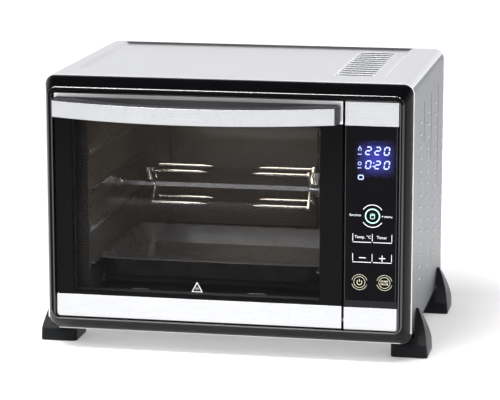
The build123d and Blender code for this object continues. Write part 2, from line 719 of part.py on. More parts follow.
def tray_well(top_z, bottom_z, grow):
    """Tapering well of the tray as two outlines."""
    wide_w = TRAY_W - 2 * TRAY_RIM_W + 2 * grow
    wide_l = TRAY_LEN - 2 * TRAY_RIM_W + 2 * grow
    with BuildSketch(level(top_z)) as top:
        with Locations(TRAY_MID):
            RectangleRounded(wide_w, wide_l, 18)
    with BuildSketch(level(bottom_z)) as bottom:
        with Locations(TRAY_MID):
            RectangleRounded(wide_w - 2 * TRAY_TAPER, wide_l - 2 * TRAY_TAPER, 14)
    return [top.sketch, bottom.sketch]


with BuildPart() as baking_tray:
    rounded(level(TRAY_RIM_Z), TRAY_MID, TRAY_W, TRAY_LEN, 12, TRAY_SHEET)
    loft(tray_well(TRAY_TOP, TRAY_TOP - TRAY_DROP, TRAY_SHEET))
    loft(tray_well(TRAY_TOP, TRAY_TOP - TRAY_DROP + TRAY_SHEET, 0), mode=Mode.SUBTRACT)
save(baking_tray.part, "baking_tray")

# ---------------------------------------------------------------- cavity lamp and sensors
lamp_axis = (LAMP_Y, LAMP_Z)
HOLDER_LEN = 28.0
HOLDER_X = CAV_LEFT - CAVITY_SHEET - HOLDER_LEN

with BuildPart() as lamp_holder:
    discs(side(HOLDER_X), [lamp_axis], 19.0, HOLDER_LEN)
    discs(side(HOLDER_X + 3), [lamp_axis], LAMP_HOLE_R, HOLDER_LEN - 3, Mode.SUBTRACT)
save(lamp_holder.part, "lamp_holder")

with BuildPart() as lamp_bulb:
    discs(side(HOLDER_X + 3), [lamp_axis], 6.0, 10.0)
    discs(side(HOLDER_X + 13), [lamp_axis], 8.0, 12.0)
    fillet(lamp_bulb.edges().group_by(Axis.X)[-1], 7.0)
save(lamp_bulb.part, "lamp_bulb")

with BuildPart() as lamp_lens:
    discs(side(CAV_LEFT), [lamp_axis], 22.0, 1.5)
    discs(side(CAV_LEFT + 1.5), [lamp_axis], 17.0, 7.0)
    fillet(lamp_lens.edges().group_by(Axis.X)[-1], 5.0)
    discs(side(CAV_LEFT), [lamp_axis], 14.5, 5.5, Mode.SUBTRACT)
save(lamp_lens.part, "lamp_lens")

with BuildPart() as temperature_probe:
    discs(side(CAV_RIGHT - 55), [(PROBE_Y, PROBE_Z)], PROBE_R, 55 + CAVITY_SHEET)
    discs(side(MOTOR_X), [(PROBE_Y, PROBE_Z)], 7.0, 9.0)
save(temperature_probe.part, "temperature_probe")

with BuildPart() as thermal_cutout:
    discs(level(CAV_TOP + CAVITY_SHEET), [(CAV_MID_X, FAN_Y)], 8.0, 6.0)
    block(
        CAV_MID_X - 14, CAV_MID_X + 14, FAN_Y - 5, FAN_Y + 5, CAV_TOP + CAVITY_SHEET,
        CAV_TOP + CAVITY_SHEET + 1.5,
    )
save(thermal_cutout.part, "thermal_cutout")

# ---------------------------------------------------------------- electrical bay
SHIELD_X = 173.0
BOARD_X = SHIELD_X + 9.0
BOARD_T = 1.6

with BuildPart() as heat_shield:
    block(SHIELD_X, SHIELD_X + 1, Y_CAVITY + SHEET, Y_REAR - 12, BODY_BOTTOM + SHEET, 366.0)
    slots(
        side(SHIELD_X), [(Y_CASE + y, 335.0) for y in spread(60.0, 26.0, 10)], 16.0, 5.0, 1.0,
        turn=90,
    )
save(heat_shield.part, "heat_shield")

with BuildPart() as power_board:
    board_y0 = Y_CASE + 90.0
    board_y1 = Y_CASE + 250.0
    block(BOARD_X, BOARD_X + BOARD_T, board_y0, board_y1, 100.0, 260.0)
    corners = [
        (y, z) for y in (board_y0 + 8, board_y1 - 8) for z in (108.0, 252.0)
    ]
    discs(side(SHIELD_X + 1), corners, 3.0, BOARD_X - SHIELD_X - 1)
    top_face = BOARD_X + BOARD_T
    block(top_face, top_face + 26, board_y0 + 15, board_y0 + 55, 205.0, 245.0)
    for i in range(4):
        y = board_y0 + 18 + 34 * i
        block(top_face, top_face + 16, y, y + 20, 112.0, 140.0)
    discs(side(top_face), [(board_y0 + 90, 215.0), (board_y0 + 120, 215.0)], 9.0, 22.0)
    discs(side(top_face), [(board_y0 + 100, 175.0)], 6.0, 12.0)
save(power_board.part, "power_board")

with BuildPart() as terminal_block:
    block(178.0, 224.0, Y_REAR - 60, Y_REAR - 38, BODY_BOTTOM + SHEET, 46.0)
    for i in range(3):
        with Locations((186.0 + 15.0 * i, Y_REAR - 49, 46.0)):
            Hole(3.0, depth=4.0)
save(terminal_block.part, "terminal_block")

# ---------------------------------------------------------------- control panel
PANEL_FRONT_WALL = 3.0
Y_PANEL_BACK = Y_CASE
Y_TOUCH_BACK = Y_FACE + TOUCH_GLASS
Y_BOARD = Y_CASE - 9.0
DISPLAY_X0 = 170.0
DISPLAY_X1 = 228.0
DISPLAY_Z0 = 248.0
DISPLAY_Z1 = 302.0
BOARD_POSTS = [(x, z) for x in (172.0, 222.0) for z in (98.0, 312.0)]
FRAME_POSTS = [(x, z) for x in (172.0, 224.0) for z in (80.0, 340.0)]

with BuildPart() as panel_frame:
    block(PANEL_LEFT, PANEL_RIGHT, Y_GLASS, Y_PANEL_BACK, PANEL_BOTTOM, PANEL_TOP)
    block(PANEL_LEFT, PANEL_RIGHT, Y_FACE, Y_GLASS, PANEL_BOTTOM + TRIM_H, TOUCH_BOTTOM)
    block(
        PANEL_LEFT + PANEL_WALL, PANEL_RIGHT - PANEL_WALL, Y_GLASS + PANEL_FRONT_WALL,
        Y_PANEL_BACK, PANEL_BOTTOM + PANEL_WALL, PANEL_TOP - PANEL_WALL, mode=Mode.SUBTRACT,
    )
    block(
        PANEL_LEFT, PANEL_RIGHT, Y_GLASS, Y_TOUCH_BACK, TOUCH_BOTTOM, TOUCH_TOP,
        mode=Mode.SUBTRACT,
    )
    block(
        DISPLAY_X0, DISPLAY_X1, Y_TOUCH_BACK, Y_GLASS + PANEL_FRONT_WALL, DISPLAY_Z0,
        DISPLAY_Z1, mode=Mode.SUBTRACT,
    )
    discs(facing(Y_BOARD), BOARD_POSTS, 3.0, Y_BOARD - Y_GLASS - PANEL_FRONT_WALL)
    discs(facing(Y_FRONT_PLATE), FRAME_POSTS, 3.0, Y_FRONT_PLATE - Y_GLASS - PANEL_FRONT_WALL)
    discs(
        side(PANEL_LEFT), [(PIVOT_Y, PIVOT_Z)], PIN_R + 1.0, PANEL_WALL, Mode.SUBTRACT,
    )
save(panel_frame.part, "panel_frame")

with BuildPart() as touch_glass:
    block(PANEL_LEFT, PANEL_RIGHT, Y_FACE, Y_TOUCH_BACK, TOUCH_BOTTOM, TOUCH_TOP)
save(touch_glass.part, "touch_glass")

with BuildPart() as display_module:
    block(
        DISPLAY_X0 + 0.5, DISPLAY_X1 - 0.5, Y_TOUCH_BACK, Y_BOARD, DISPLAY_Z0 + 0.5,
        DISPLAY_Z1 - 0.5,
    )
save(display_module.part, "display_module")

with BuildPart() as touch_board:
    block(PANEL_LEFT + 5, PANEL_RIGHT - 5, Y_BOARD, Y_BOARD + BOARD_T, 91.0, 319.0)
    for i in range(3):
        block(180.0 + 14 * i, 188.0 + 14 * i, Y_BOARD + BOARD_T, Y_BOARD + 4, 150.0, 172.0)
save(touch_board.part, "touch_board")

with BuildPart() as badge_plate:
    block(PANEL_LEFT, PANEL_RIGHT, Y_FACE, Y_GLASS, TOUCH_TOP, PANEL_TOP)
    fillet(badge_plate.edges().filter_by(Axis.Y), 0.6)
save(badge_plate.part, "badge_plate")

with BuildPart() as panel_trim_plate:
    block(PANEL_LEFT, PANEL_RIGHT, Y_FACE, Y_GLASS, PANEL_BOTTOM, PANEL_BOTTOM + TRIM_H)
    fillet(panel_trim_plate.edges().filter_by(Axis.Y), 0.6)
save(panel_trim_plate.part, "panel_trim_plate")

# ---------------------------------------------------------------- hinge brackets
BRACKET_T = 2.5
BRACKET_Z0 = 48.0
BRACKET_Z1 = 70.0
BRACKET_X = (-237.0, PANEL_LEFT + PANEL_WALL + 0.3)
BRACKET_FOOT = (-246.0, PANEL_LEFT + 14.0)
Y_BRACKET = Y_CASE - 14.5

with BuildPart() as hinge_brackets:
    for x, foot_x in zip(BRACKET_X, BRACKET_FOOT):
        block(x, x + BRACKET_T, Y_BRACKET, Y_FRONT_PLATE, BRACKET_Z0 + 2, BRACKET_Z1)
        inner = x if foot_x < x else x + BRACKET_T
        block(
            *sorted((foot_x, inner)), Y_FRONT_PLATE - 1.5, Y_FRONT_PLATE, BRACKET_Z0 + 2,
            BRACKET_Z1,
        )
        discs(side(x), [(PIVOT_Y, PIVOT_Z)], PIN_R + FIT, BRACKET_T, Mode.SUBTRACT)
save(hinge_brackets.part, "hinge_brackets")

# ---------------------------------------------------------------- door
PANE_LEFT = WINDOW_LEFT - GLASS_LAP
PANE_RIGHT = WINDOW_RIGHT + GLASS_LAP
PANE_Z0 = WINDOW_BOTTOM - GLASS_LAP
PANE_Z1 = WINDOW_TOP + GLASS_LAP
SCREW_SHANK_R = 2.0
SCREW_HEAD_R = 4.0
HANDLE_SCREW_SPOTS = [
    (HANDLE_MID_X - 178.0, 336.0), (HANDLE_MID_X + 178.0, 336.0),
]
PIN_HOLD = 10.0
RETAINER_SPOTS = [(x, z) for x in (-120.0, 40.0) for z in (PANE_Z0, PANE_Z1)]

with BuildPart() as door_frame:
    block(DOOR_LEFT, DOOR_RIGHT, Y_DOOR_FRAME, Y_DOOR_BACK, DOOR_BOTTOM, DOOR_TOP)
    lower_back = door_frame.edges().filter_by(Axis.X).group_by(Axis.Z)[0].sort_by(Axis.Y)[-1]
    chamfer(lower_back, 5)
    block(
        WINDOW_LEFT, WINDOW_RIGHT, Y_DOOR_FRAME, Y_DOOR_BACK, WINDOW_BOTTOM, WINDOW_TOP,
        mode=Mode.SUBTRACT,
    )
    block(
        PANE_LEFT, PANE_RIGHT, Y_DOOR_BACK - GLASS, Y_DOOR_BACK, PANE_Z0, PANE_Z1,
        mode=Mode.SUBTRACT,
    )
    discs(side(DOOR_LEFT), [(PIVOT_Y, PIVOT_Z)], PIN_R, PIN_HOLD, Mode.SUBTRACT)
    discs(side(DOOR_RIGHT - PIN_HOLD), [(PIVOT_Y, PIVOT_Z)], PIN_R, PIN_HOLD, Mode.SUBTRACT)
    discs(facing(Y_DOOR_BACK), HANDLE_SCREW_SPOTS, SCREW_SHANK_R, DOOR_FRAME_DEPTH,
          Mode.SUBTRACT)
    discs(facing(Y_DOOR_BACK), HANDLE_SCREW_SPOTS, SCREW_HEAD_R, 3.0, Mode.SUBTRACT)
save(door_frame.part, "door_frame")

with BuildPart() as outer_glass:
    block(DOOR_LEFT, DOOR_RIGHT, Y_GLASS, Y_DOOR_FRAME, DOOR_BOTTOM, DOOR_TOP)
    discs(facing(Y_DOOR_FRAME), HANDLE_SCREW_SPOTS, SCREW_SHANK_R, GLASS, Mode.SUBTRACT)
save(outer_glass.part, "outer_glass")

with BuildPart() as inner_glass:
    block(PANE_LEFT, PANE_RIGHT, Y_DOOR_BACK - GLASS, Y_DOOR_BACK, PANE_Z0, PANE_Z1)
save(inner_glass.part, "inner_glass")

with BuildPart() as glass_clips:
    for x, z in RETAINER_SPOTS:
        block(x - 12, x + 12, Y_DOOR_BACK, Y_DOOR_BACK + 1.2, z - 7, z + 7)
save(glass_clips.part, "glass_clips")

with BuildPart() as top_trim:
    block(DOOR_LEFT, DOOR_RIGHT, Y_FACE, Y_GLASS, DOOR_TOP - TRIM_H, DOOR_TOP)
    discs(facing(Y_GLASS), HANDLE_SCREW_SPOTS, SCREW_SHANK_R, TRIM_SHEET, Mode.SUBTRACT)
save(top_trim.part, "top_trim")

with BuildPart() as bottom_trim:
    block(DOOR_LEFT, DOOR_RIGHT, Y_FACE, Y_GLASS, DOOR_BOTTOM, DOOR_BOTTOM + TRIM_H)
save(bottom_trim.part, "bottom_trim")

# handle: base strip, arched grip and steel face
Y_HANDLE_BASE = Y_FACE - HANDLE_BASE_T
Y_HANDLE_END = Y_FACE - HANDLE_END_PROUD
Y_HANDLE_MID = Y_CASE - HANDLE_REACH
GRIP_OPEN_HALF = 166.0

with BuildPart() as handle_base:
    rounded(
        facing(Y_FACE), (HANDLE_MID_X, (HANDLE_Z0 + HANDLE_BASE_TOP) / 2), 2 * HANDLE_HALF,
        HANDLE_BASE_TOP - HANDLE_Z0, 3, HANDLE_BASE_T,
    )
    discs(facing(Y_FACE), HANDLE_SCREW_SPOTS, SCREW_SHANK_R, HANDLE_BASE_T, Mode.SUBTRACT)
save(handle_base.part, "handle_base")


def bow(half, y_end, y_mid):
    """Plan outline between a straight chord at the base strip and a bowed front."""
    left = (HANDLE_MID_X - half, y_end)
    right = (HANDLE_MID_X + half, y_end)
    ThreePointArc(left, (HANDLE_MID_X, y_mid), right)
    y_waist = (y_end + Y_HANDLE_BASE) / 2
    feet = []
    for flank, corner in ((-1, left), (1, right)):
        foot = (HANDLE_MID_X + flank * (half + HANDLE_FLARE), Y_HANDLE_BASE)
        waist = (HANDLE_MID_X + flank * (half + 0.8 * HANDLE_FLARE), y_waist)
        ThreePointArc(corner, waist, foot)
        feet.append(foot)
    Line(*feet)


GRIP_FRONT_MID = Y_HANDLE_MID + HANDLE_FACE_SHEET
with BuildPart() as handle_grip:
    with BuildSketch(level(HANDLE_Z0)):
        with BuildLine():
            bow(HANDLE_HALF, Y_HANDLE_END, GRIP_FRONT_MID)
        make_face()
        with BuildLine():
            ThreePointArc(
                (HANDLE_MID_X - GRIP_OPEN_HALF, Y_HANDLE_BASE),
                (HANDLE_MID_X, Y_HANDLE_MID + GRIP_T),
                (HANDLE_MID_X + GRIP_OPEN_HALF, Y_HANDLE_BASE),
            )
            Line(
                (HANDLE_MID_X + GRIP_OPEN_HALF, Y_HANDLE_BASE),
                (HANDLE_MID_X - GRIP_OPEN_HALF, Y_HANDLE_BASE),
            )
        make_face(mode=Mode.SUBTRACT)
    extrude(amount=HANDLE_Z1 - HANDLE_Z0)
    discs(facing(Y_HANDLE_BASE), HANDLE_SCREW_SPOTS, SCREW_SHANK_R, 6.0, Mode.SUBTRACT)
save(handle_grip.part, "handle_grip")


def bow_radius(y_mid):
    """Radius of the handle's front arc in plan."""
    rise = Y_HANDLE_END - y_mid
    return (HANDLE_HALF**2 + rise**2) / (2 * rise)


FACE_R = bow_radius(GRIP_FRONT_MID)
FACE_CENTER_Y = GRIP_FRONT_MID + FACE_R
FACE_HALF_ANGLE = math.asin(HANDLE_FACE_HALF / FACE_R)


def on_arc(radius, angle):
    """Point on the handle's front arc; angle 0 is the middle."""
    return (
        HANDLE_MID_X + radius * math.sin(angle),
        FACE_CENTER_Y - radius * math.cos(angle),
    )


with BuildPart() as handle_face:
    outer_r = FACE_R + HANDLE_FACE_SHEET
    with BuildSketch(level(HANDLE_Z0 + 0.8)):
        with BuildLine():
            ThreePointArc(
                on_arc(outer_r, -FACE_HALF_ANGLE), on_arc(outer_r, 0),
                on_arc(outer_r, FACE_HALF_ANGLE),
            )
            Line(on_arc(outer_r, FACE_HALF_ANGLE), on_arc(FACE_R, FACE_HALF_ANGLE))
            ThreePointArc(
                on_arc(FACE_R, FACE_HALF_ANGLE), on_arc(FACE_R, 0),
                on_arc(FACE_R, -FACE_HALF_ANGLE),
            )
            Line(on_arc(FACE_R, -FACE_HALF_ANGLE), on_arc(outer_r, -FACE_HALF_ANGLE))
        make_face()
    extrude(amount=HANDLE_Z1 - HANDLE_Z0 - 1.6)
save(handle_face.part, "handle_face")

with BuildPart() as handle_screws:
    discs(facing(Y_DOOR_BACK), HANDLE_SCREW_SPOTS, SCREW_HEAD_R, 3.0)
    discs(facing(Y_DOOR_BACK - 3.0), HANDLE_SCREW_SPOTS, SCREW_SHANK_R,
          Y_DOOR_BACK - 3.0 - Y_HANDLE_BASE + 6.0)
save(handle_screws.part, "handle_screws")

PIN_LEN = 15.8
with BuildPart() as hinge_pins:
    discs(side(DOOR_LEFT + PIN_HOLD - PIN_LEN), [(PIVOT_Y, PIVOT_Z)], PIN_R, PIN_LEN)
    discs(side(DOOR_RIGHT - PIN_HOLD), [(PIVOT_Y, PIVOT_Z)], PIN_R, PIN_LEN + 2.5)
save(hinge_pins.part, "hinge_pins")

# curved stay arms, concentric with the hinge, passing through slots in the front plate
STAY_START = math.degrees(math.acos((Y_DOOR_BACK - PIVOT_Y) / (STAY_R - STAY_W / 2)))
STAY_END = -15.0


def stay_point(radius, degrees):
    """Point at an angle about the hinge axis, in the side view."""
    a = math.radians(degrees)
    return (PIVOT_Y + radius * math.cos(a), PIVOT_Z + radius * math.sin(a))


with BuildPart() as stay_arms:
    middle = (STAY_START + STAY_END) / 2
    r_out = STAY_R + STAY_W / 2
    r_in = STAY_R - STAY_W / 2
    for x in STAY_X:
        with BuildSketch(side(x)) as arm:
            with BuildLine():
                ThreePointArc(
                    stay_point(r_out, STAY_START), stay_point(r_out, middle),
                    stay_point(r_out, STAY_END),
                )
                Line(stay_point(r_out, STAY_END), stay_point(r_in, STAY_END))
                ThreePointArc(
                    stay_point(r_in, STAY_END), stay_point(r_in, middle),
                    stay_point(r_in, STAY_START),
                )
                Line(stay_point(r_in, STAY_START), stay_point(r_out, STAY_START))
            make_face()
            with Locations((Y_DOOR_BACK + 2.0, STAY_SLOT_Z)):
                Rectangle(4.0, STAY_W + 2)
        extrude(amount=STAY_T)
        block(
            x, x + STAY_T, Y_DOOR_BACK, Y_DOOR_BACK + 1.5, STAY_SLOT_Z - 16, STAY_SLOT_Z + 16,
        )
        foot = (x, x + 9.0) if x < 0 else (x - 7.0, x + STAY_T)
        block(*foot, Y_DOOR_BACK, Y_DOOR_BACK + 1.5, STAY_SLOT_Z - 16, STAY_SLOT_Z + 16)
save(stay_arms.part, "stay_arms")

# ---------------------------------------------------------------- feet
FOOT_FLARE_Z = 42.0
FOOT_FLARE_X = 11.8
FOOT_TIP_X = 0.8
FOOT_BASE_Z = 14.0
FOOT_R = 7.0
FOOT_CUT_Z = FOOT_APEX_Z + 3.0
FOOT_SPARE = 1.5
FOOT_PLAN_W = FOOT_W + FOOT_SPARE


def foot_mass(flank, y):
    """The foot as the common solid of its three views."""
    half_l = FOOT_L / 2
    end_y = half_l + FOOT_SPARE
    with BuildPart() as body:
        with BuildSketch(level(PAD_PROUD)):
            with Locations((flank * (HALF_W + FOOT_OUT + FOOT_SPARE - FOOT_PLAN_W / 2), y)):
                RectangleRounded(FOOT_PLAN_W, FOOT_L, FOOT_R)
        extrude(amount=FOOT_CUT_Z)
        with BuildSketch(side(flank * HALF_W)):
            with BuildLine():
                Polyline(
                    (y - end_y, FOOT_BASE_Z), (y - end_y, -FOOT_SPARE),
                    (y + end_y, -FOOT_SPARE), (y + end_y, FOOT_BASE_Z),
                )
                ThreePointArc(
                    (y + end_y, FOOT_BASE_Z), (y + half_l - 13.0, 36.0),
                    (y + 2.5, FOOT_APEX_Z - 1.5),
                )
                ThreePointArc(
                    (y + 2.5, FOOT_APEX_Z - 1.5), (y, FOOT_APEX_Z),
                    (y - 2.5, FOOT_APEX_Z - 1.5),
                )
                ThreePointArc(
                    (y - 2.5, FOOT_APEX_Z - 1.5), (y - half_l + 13.0, 36.0),
                    (y - end_y, FOOT_BASE_Z),
                )
            make_face()
        extrude(amount=2 * FOOT_W, both=True, mode=Mode.INTERSECT)
        with BuildSketch(facing(y)):
            with BuildLine():
                Polyline(
                    (flank * (HALF_W + FOOT_OUT), PAD_PROUD),
                    (flank * (HALF_W + FOOT_OUT), -FOOT_SPARE),
                    (flank * (HALF_W - FOOT_W), -FOOT_SPARE),
                    (flank * (HALF_W - FOOT_W), BODY_BOTTOM),
                    (flank * HALF_W, BODY_BOTTOM),
                    (flank * HALF_W, FOOT_CUT_Z),
                    (flank * (HALF_W + FOOT_TIP_X), FOOT_CUT_Z),
                )
                ThreePointArc(
                    (flank * (HALF_W + FOOT_TIP_X), FOOT_CUT_Z),
                    (flank * (HALF_W + FOOT_FLARE_X), FOOT_FLARE_Z),
                    (flank * (HALF_W + FOOT_OUT), PAD_PROUD),
                )
            make_face()
        extrude(amount=FOOT_L, both=True, mode=Mode.INTERSECT)
        discs(level(0), [(flank * HALF_W, y)], PAD_R, PAD_PROUD + 2.0, Mode.SUBTRACT)
        discs(level(BODY_BOTTOM - 14.0), [(flank * FOOT_SCREW_X, y)], FOOT_SCREW_R,
              14.0 + FOOT_SPARE, Mode.SUBTRACT)
    return body.part


left_pair = [foot_mass(-1, y) for y in FOOT_Y]
right_pair = [foot_mass(1, y) for y in FOOT_Y]

with BuildPart() as left_feet:
    add(left_pair)
save(left_feet.part, "left_feet")

with BuildPart() as right_feet:
    add(right_pair)
save(right_feet.part, "right_feet")

with BuildPart() as foot_pads:
    discs(level(0), [(x, y) for x in (-HALF_W, HALF_W) for y in FOOT_Y], PAD_R, PAD_PROUD + 2.0)
save(foot_pads.part, "foot_pads")

with BuildPart() as foot_screws:
    discs(level(BODY_BOTTOM + SHEET), FOOT_SCREW_SPOTS, 4.0, 2.4)
    discs(level(BODY_BOTTOM - 14.0), FOOT_SCREW_SPOTS, FOOT_SCREW_R, 14.0 + SHEET)
save(foot_screws.part, "foot_screws")
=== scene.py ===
import json
import math

import bmesh
import bpy
from mathutils import Matrix, Vector

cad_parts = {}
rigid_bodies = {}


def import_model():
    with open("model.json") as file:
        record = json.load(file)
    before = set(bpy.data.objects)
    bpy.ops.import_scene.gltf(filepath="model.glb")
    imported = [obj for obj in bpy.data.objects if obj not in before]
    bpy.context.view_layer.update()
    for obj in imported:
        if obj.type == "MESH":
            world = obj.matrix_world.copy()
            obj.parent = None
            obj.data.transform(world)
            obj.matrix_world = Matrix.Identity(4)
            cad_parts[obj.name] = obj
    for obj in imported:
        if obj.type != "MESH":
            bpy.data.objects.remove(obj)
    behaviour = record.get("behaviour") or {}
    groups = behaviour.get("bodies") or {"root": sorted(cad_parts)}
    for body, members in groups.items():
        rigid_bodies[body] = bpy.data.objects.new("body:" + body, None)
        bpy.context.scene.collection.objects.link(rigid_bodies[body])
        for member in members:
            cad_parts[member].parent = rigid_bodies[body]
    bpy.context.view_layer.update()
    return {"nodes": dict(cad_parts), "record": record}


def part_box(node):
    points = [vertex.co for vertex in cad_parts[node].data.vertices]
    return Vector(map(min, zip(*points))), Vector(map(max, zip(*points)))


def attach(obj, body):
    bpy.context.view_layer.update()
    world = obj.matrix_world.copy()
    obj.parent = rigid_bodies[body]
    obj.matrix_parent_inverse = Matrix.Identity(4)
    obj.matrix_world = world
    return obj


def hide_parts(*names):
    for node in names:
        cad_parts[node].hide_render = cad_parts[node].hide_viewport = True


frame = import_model()

# ---- Steel casing -----------------------------------------------------------
# One sheet of brushed stainless, folded down over both sides and curled under the
# base, and screwed on from behind. The top has a shallow pressed field and a row of
# cooling louvres; the sides are dimpled and grooved.


class Val:
    """A socket inside a material; ordinary maths on it adds Math nodes."""

    def __init__(self, finish, socket):
        self.finish = finish
        self.socket = socket

    def __add__(self, other):
        return self.finish.maths("ADD", self, other)

    __radd__ = __add__

    def __sub__(self, other):
        return self.finish.maths("SUBTRACT", self, other)

    def __rsub__(self, other):
        return self.finish.maths("SUBTRACT", other, self)

    def __mul__(self, other):
        return self.finish.maths("MULTIPLY", self, other)

    __rmul__ = __mul__

    def __truediv__(self, other):
        return self.finish.maths("DIVIDE", self, other)

    def __gt__(self, other):
        return self.finish.maths("GREATER_THAN", self, other)


class Finish:
    """A material built around one Principled shader."""

    def __init__(self, name, color, **constants):
        self.material = bpy.data.materials.new(name)
        self.material.use_nodes = True
        self.tree = self.material.node_tree
        self.shader = self.tree.nodes["Principled BSDF"]
        self.shader.inputs["Base Color"].default_value = (*color, 1)
        for key, value in constants.items():
            self.shader.inputs[key.replace("_", " ")].default_value = value

    def node(self, kind, settings=None, inputs=None, out=0):
        made = self.tree.nodes.new(kind)
        for key, value in (settings or {}).items():
            setattr(made, key, value)
        for key, value in (inputs or {}).items():
            if isinstance(value, Val):
                self.tree.links.new(value.socket, made.inputs[key])
            else:
                made.inputs[key].default_value = value
        return Val(self, made.outputs[out])

    def maths(self, operation, left, right=0.0):
        return self.node("ShaderNodeMath", {"operation": operation}, {0: left, 1: right})

    def feed(self, key, value):
        self.tree.links.new(value.socket, self.shader.inputs[key])

    def place(self):
        return self.node("ShaderNodeTexCoord", out="Object")

    def axes(self):
        """The three coordinates of a point on the object, in metres."""
        place = self.place()
        return [self.node("ShaderNodeSeparateXYZ", None, {0: place}, out=i) for i in range(3)]

    def noise(self, size, detail, stretch=(1, 1, 1)):
        """Noise whose grains are about size metres across, drawn out by stretch."""
        scale = tuple(1 / (size * s) for s in stretch)
        spot = self.node("ShaderNodeMapping", None, {"Vector": self.place(), "Scale": scale})
        return self.node("ShaderNodeTexNoise", None,
                         {"Vector": spot, "Scale": 1.0, "Detail": detail})

    def blend(self, factor, dark, light):
        return self.node("ShaderNodeMix", {"data_type": "RGBA"},
                         {0: factor, 6: (*dark, 1), 7: (*light, 1)}, out=2)

    def tint(self, factor, dark, light):
        self.feed("Base Color", self.blend(factor, dark, light))

    def glow(self, factor, dark, light):
        self.feed("Emission Color", self.blend(factor, dark, light))

    def bump(self, height, depth):
        self.feed("Normal", self.node(
            "ShaderNodeBump", None, {"Height": height, "Distance": depth, "Strength": 1.0},
        ))


def brushed(name, dark, light, stretch, rough=0.3, swing=0.16, dents=0.0, glance=1.0):
    """Stainless with fine scratches along the longest stretch, dented or flat.

    swing is how far the roughness varies; glance dims what is seen at a low angle.
    """
    steel = Finish(name, light, Metallic=1.0, Specular_Tint=(glance, glance, glance, 1))
    streak = steel.noise(0.0005, 4.0, stretch)
    cloud = steel.noise(0.03, 2.0)
    steel.tint(streak * 0.75 + cloud * 0.25, dark, light)
    steel.feed("Roughness", streak * swing + cloud * 0.08 + (rough - 0.1))
    if dents:
        steel.bump(steel.noise(0.007, 2.0) + streak * 0.1, dents)
    else:
        steel.bump(streak, 0.00006)
    return steel.material


def piece(name, mesh, body, material=None):
    """Put a finished mesh on its body."""
    made = bpy.data.objects.new(name, mesh)
    bpy.context.scene.collection.objects.link(made)
    if material is not None:
        mesh.materials.clear()
        mesh.materials.append(material)
    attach(made, body)
    return made


BODY_OF = {n: b for b, ns in frame["record"]["behaviour"]["bodies"].items() for n in ns}


def shaded(bm, name, smooth):
    """The mesh as data, smooth except where it turns by more than smooth degrees."""
    mesh = bpy.data.meshes.new(name)
    bm.to_mesh(mesh)
    bm.free()
    for face in mesh.polygons:
        face.use_smooth = True
    mesh.set_sharp_from_angle(angle=math.radians(smooth))
    return mesh


WELD = 2e-6


def cad_copy(node):
    """A welded copy of a CAD node's mesh."""
    bm = bmesh.new()
    bm.from_mesh(frame["nodes"][node].data)
    bmesh.ops.remove_doubles(bm, verts=bm.verts, dist=WELD)
    return bm


def worked(node, material, edge=0.0, smooth=30, segments=2):
    """The CAD piece with its edges broken and its round faces smooth."""
    bm = cad_copy(node)
    if edge:
        bmesh.ops.dissolve_limit(
            bm, angle_limit=math.radians(0.5), verts=bm.verts, edges=bm.edges,
        )
    mesh = shaded(bm, node + "_made", smooth)
    made = piece(mesh.name, mesh, BODY_OF[node], material)
    if edge:
        bevel = made.modifiers.new("edges", "BEVEL")
        bevel.width = edge
        bevel.segments = segments
        bevel.limit_method = "ANGLE"
        bevel.angle_limit = math.radians(35)
        bevel.harden_normals = True
    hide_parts(node)
    return made


casing_steel = brushed(
    "brushed_casing_steel", (0.78, 0.785, 0.79), (0.92, 0.925, 0.93), (1, 90, 1), 0.34,
)
# The sides are the same brushed stainless as the top, coloured much darker and with a dimmed
# glancing reflection: painted shade for the sides turned away from the light.
side_painted_shade_steel = brushed(
    "brushed_side_steel_painted_shade", (0.165, 0.176, 0.194), (0.30, 0.312, 0.334), (1, 60, 1), 0.28, 0.16,
    0.0006, 0.72,
)
# Near-black steel for the side grooves and the curl under the base: painted shade in the recesses
# and under the casing.
groove_underside_shade_steel = brushed(
    "groove_underside_painted_shade_steel", (0.03, 0.032, 0.036), (0.08, 0.083, 0.09), (1, 1, 40), 0.5,
)
casing = worked("outer_casing", casing_steel, smooth=20)
casing.data.materials.append(side_painted_shade_steel)
casing.data.materials.append(groove_underside_shade_steel)
case_lo, case_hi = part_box("outer_casing")
y_case = case_lo.y
GROOVES = (0.113, 0.196, 0.279)     # behind the front edge
GROOVE_HALF_WIDTH = 0.002
GROOVE_DEPTH = 0.0007
UNDERSIDE = 0.016                   # height of the part that curls under
for face in casing.data.polygons:
    face.use_smooth = max(abs(n) for n in face.normal) < 0.995
    # faces turned to the sides take the painted-shade copy of the steel
    if abs(face.normal.x) > 0.85:
        face.material_index = 1
    # faces sunk in the grooves and those curled under the base take the painted-shade steel
    near = min(abs(face.center.y - y_case - y) for y in GROOVES)
    sunk = case_hi.x - abs(face.center.x)
    narrow = near < GROOVE_HALF_WIDTH and face.area < 0.0006
    groove = narrow and 0.0001 < sunk < GROOVE_DEPTH
    if groove or face.center.z < case_lo.z + UNDERSIDE:
        face.material_index = 2


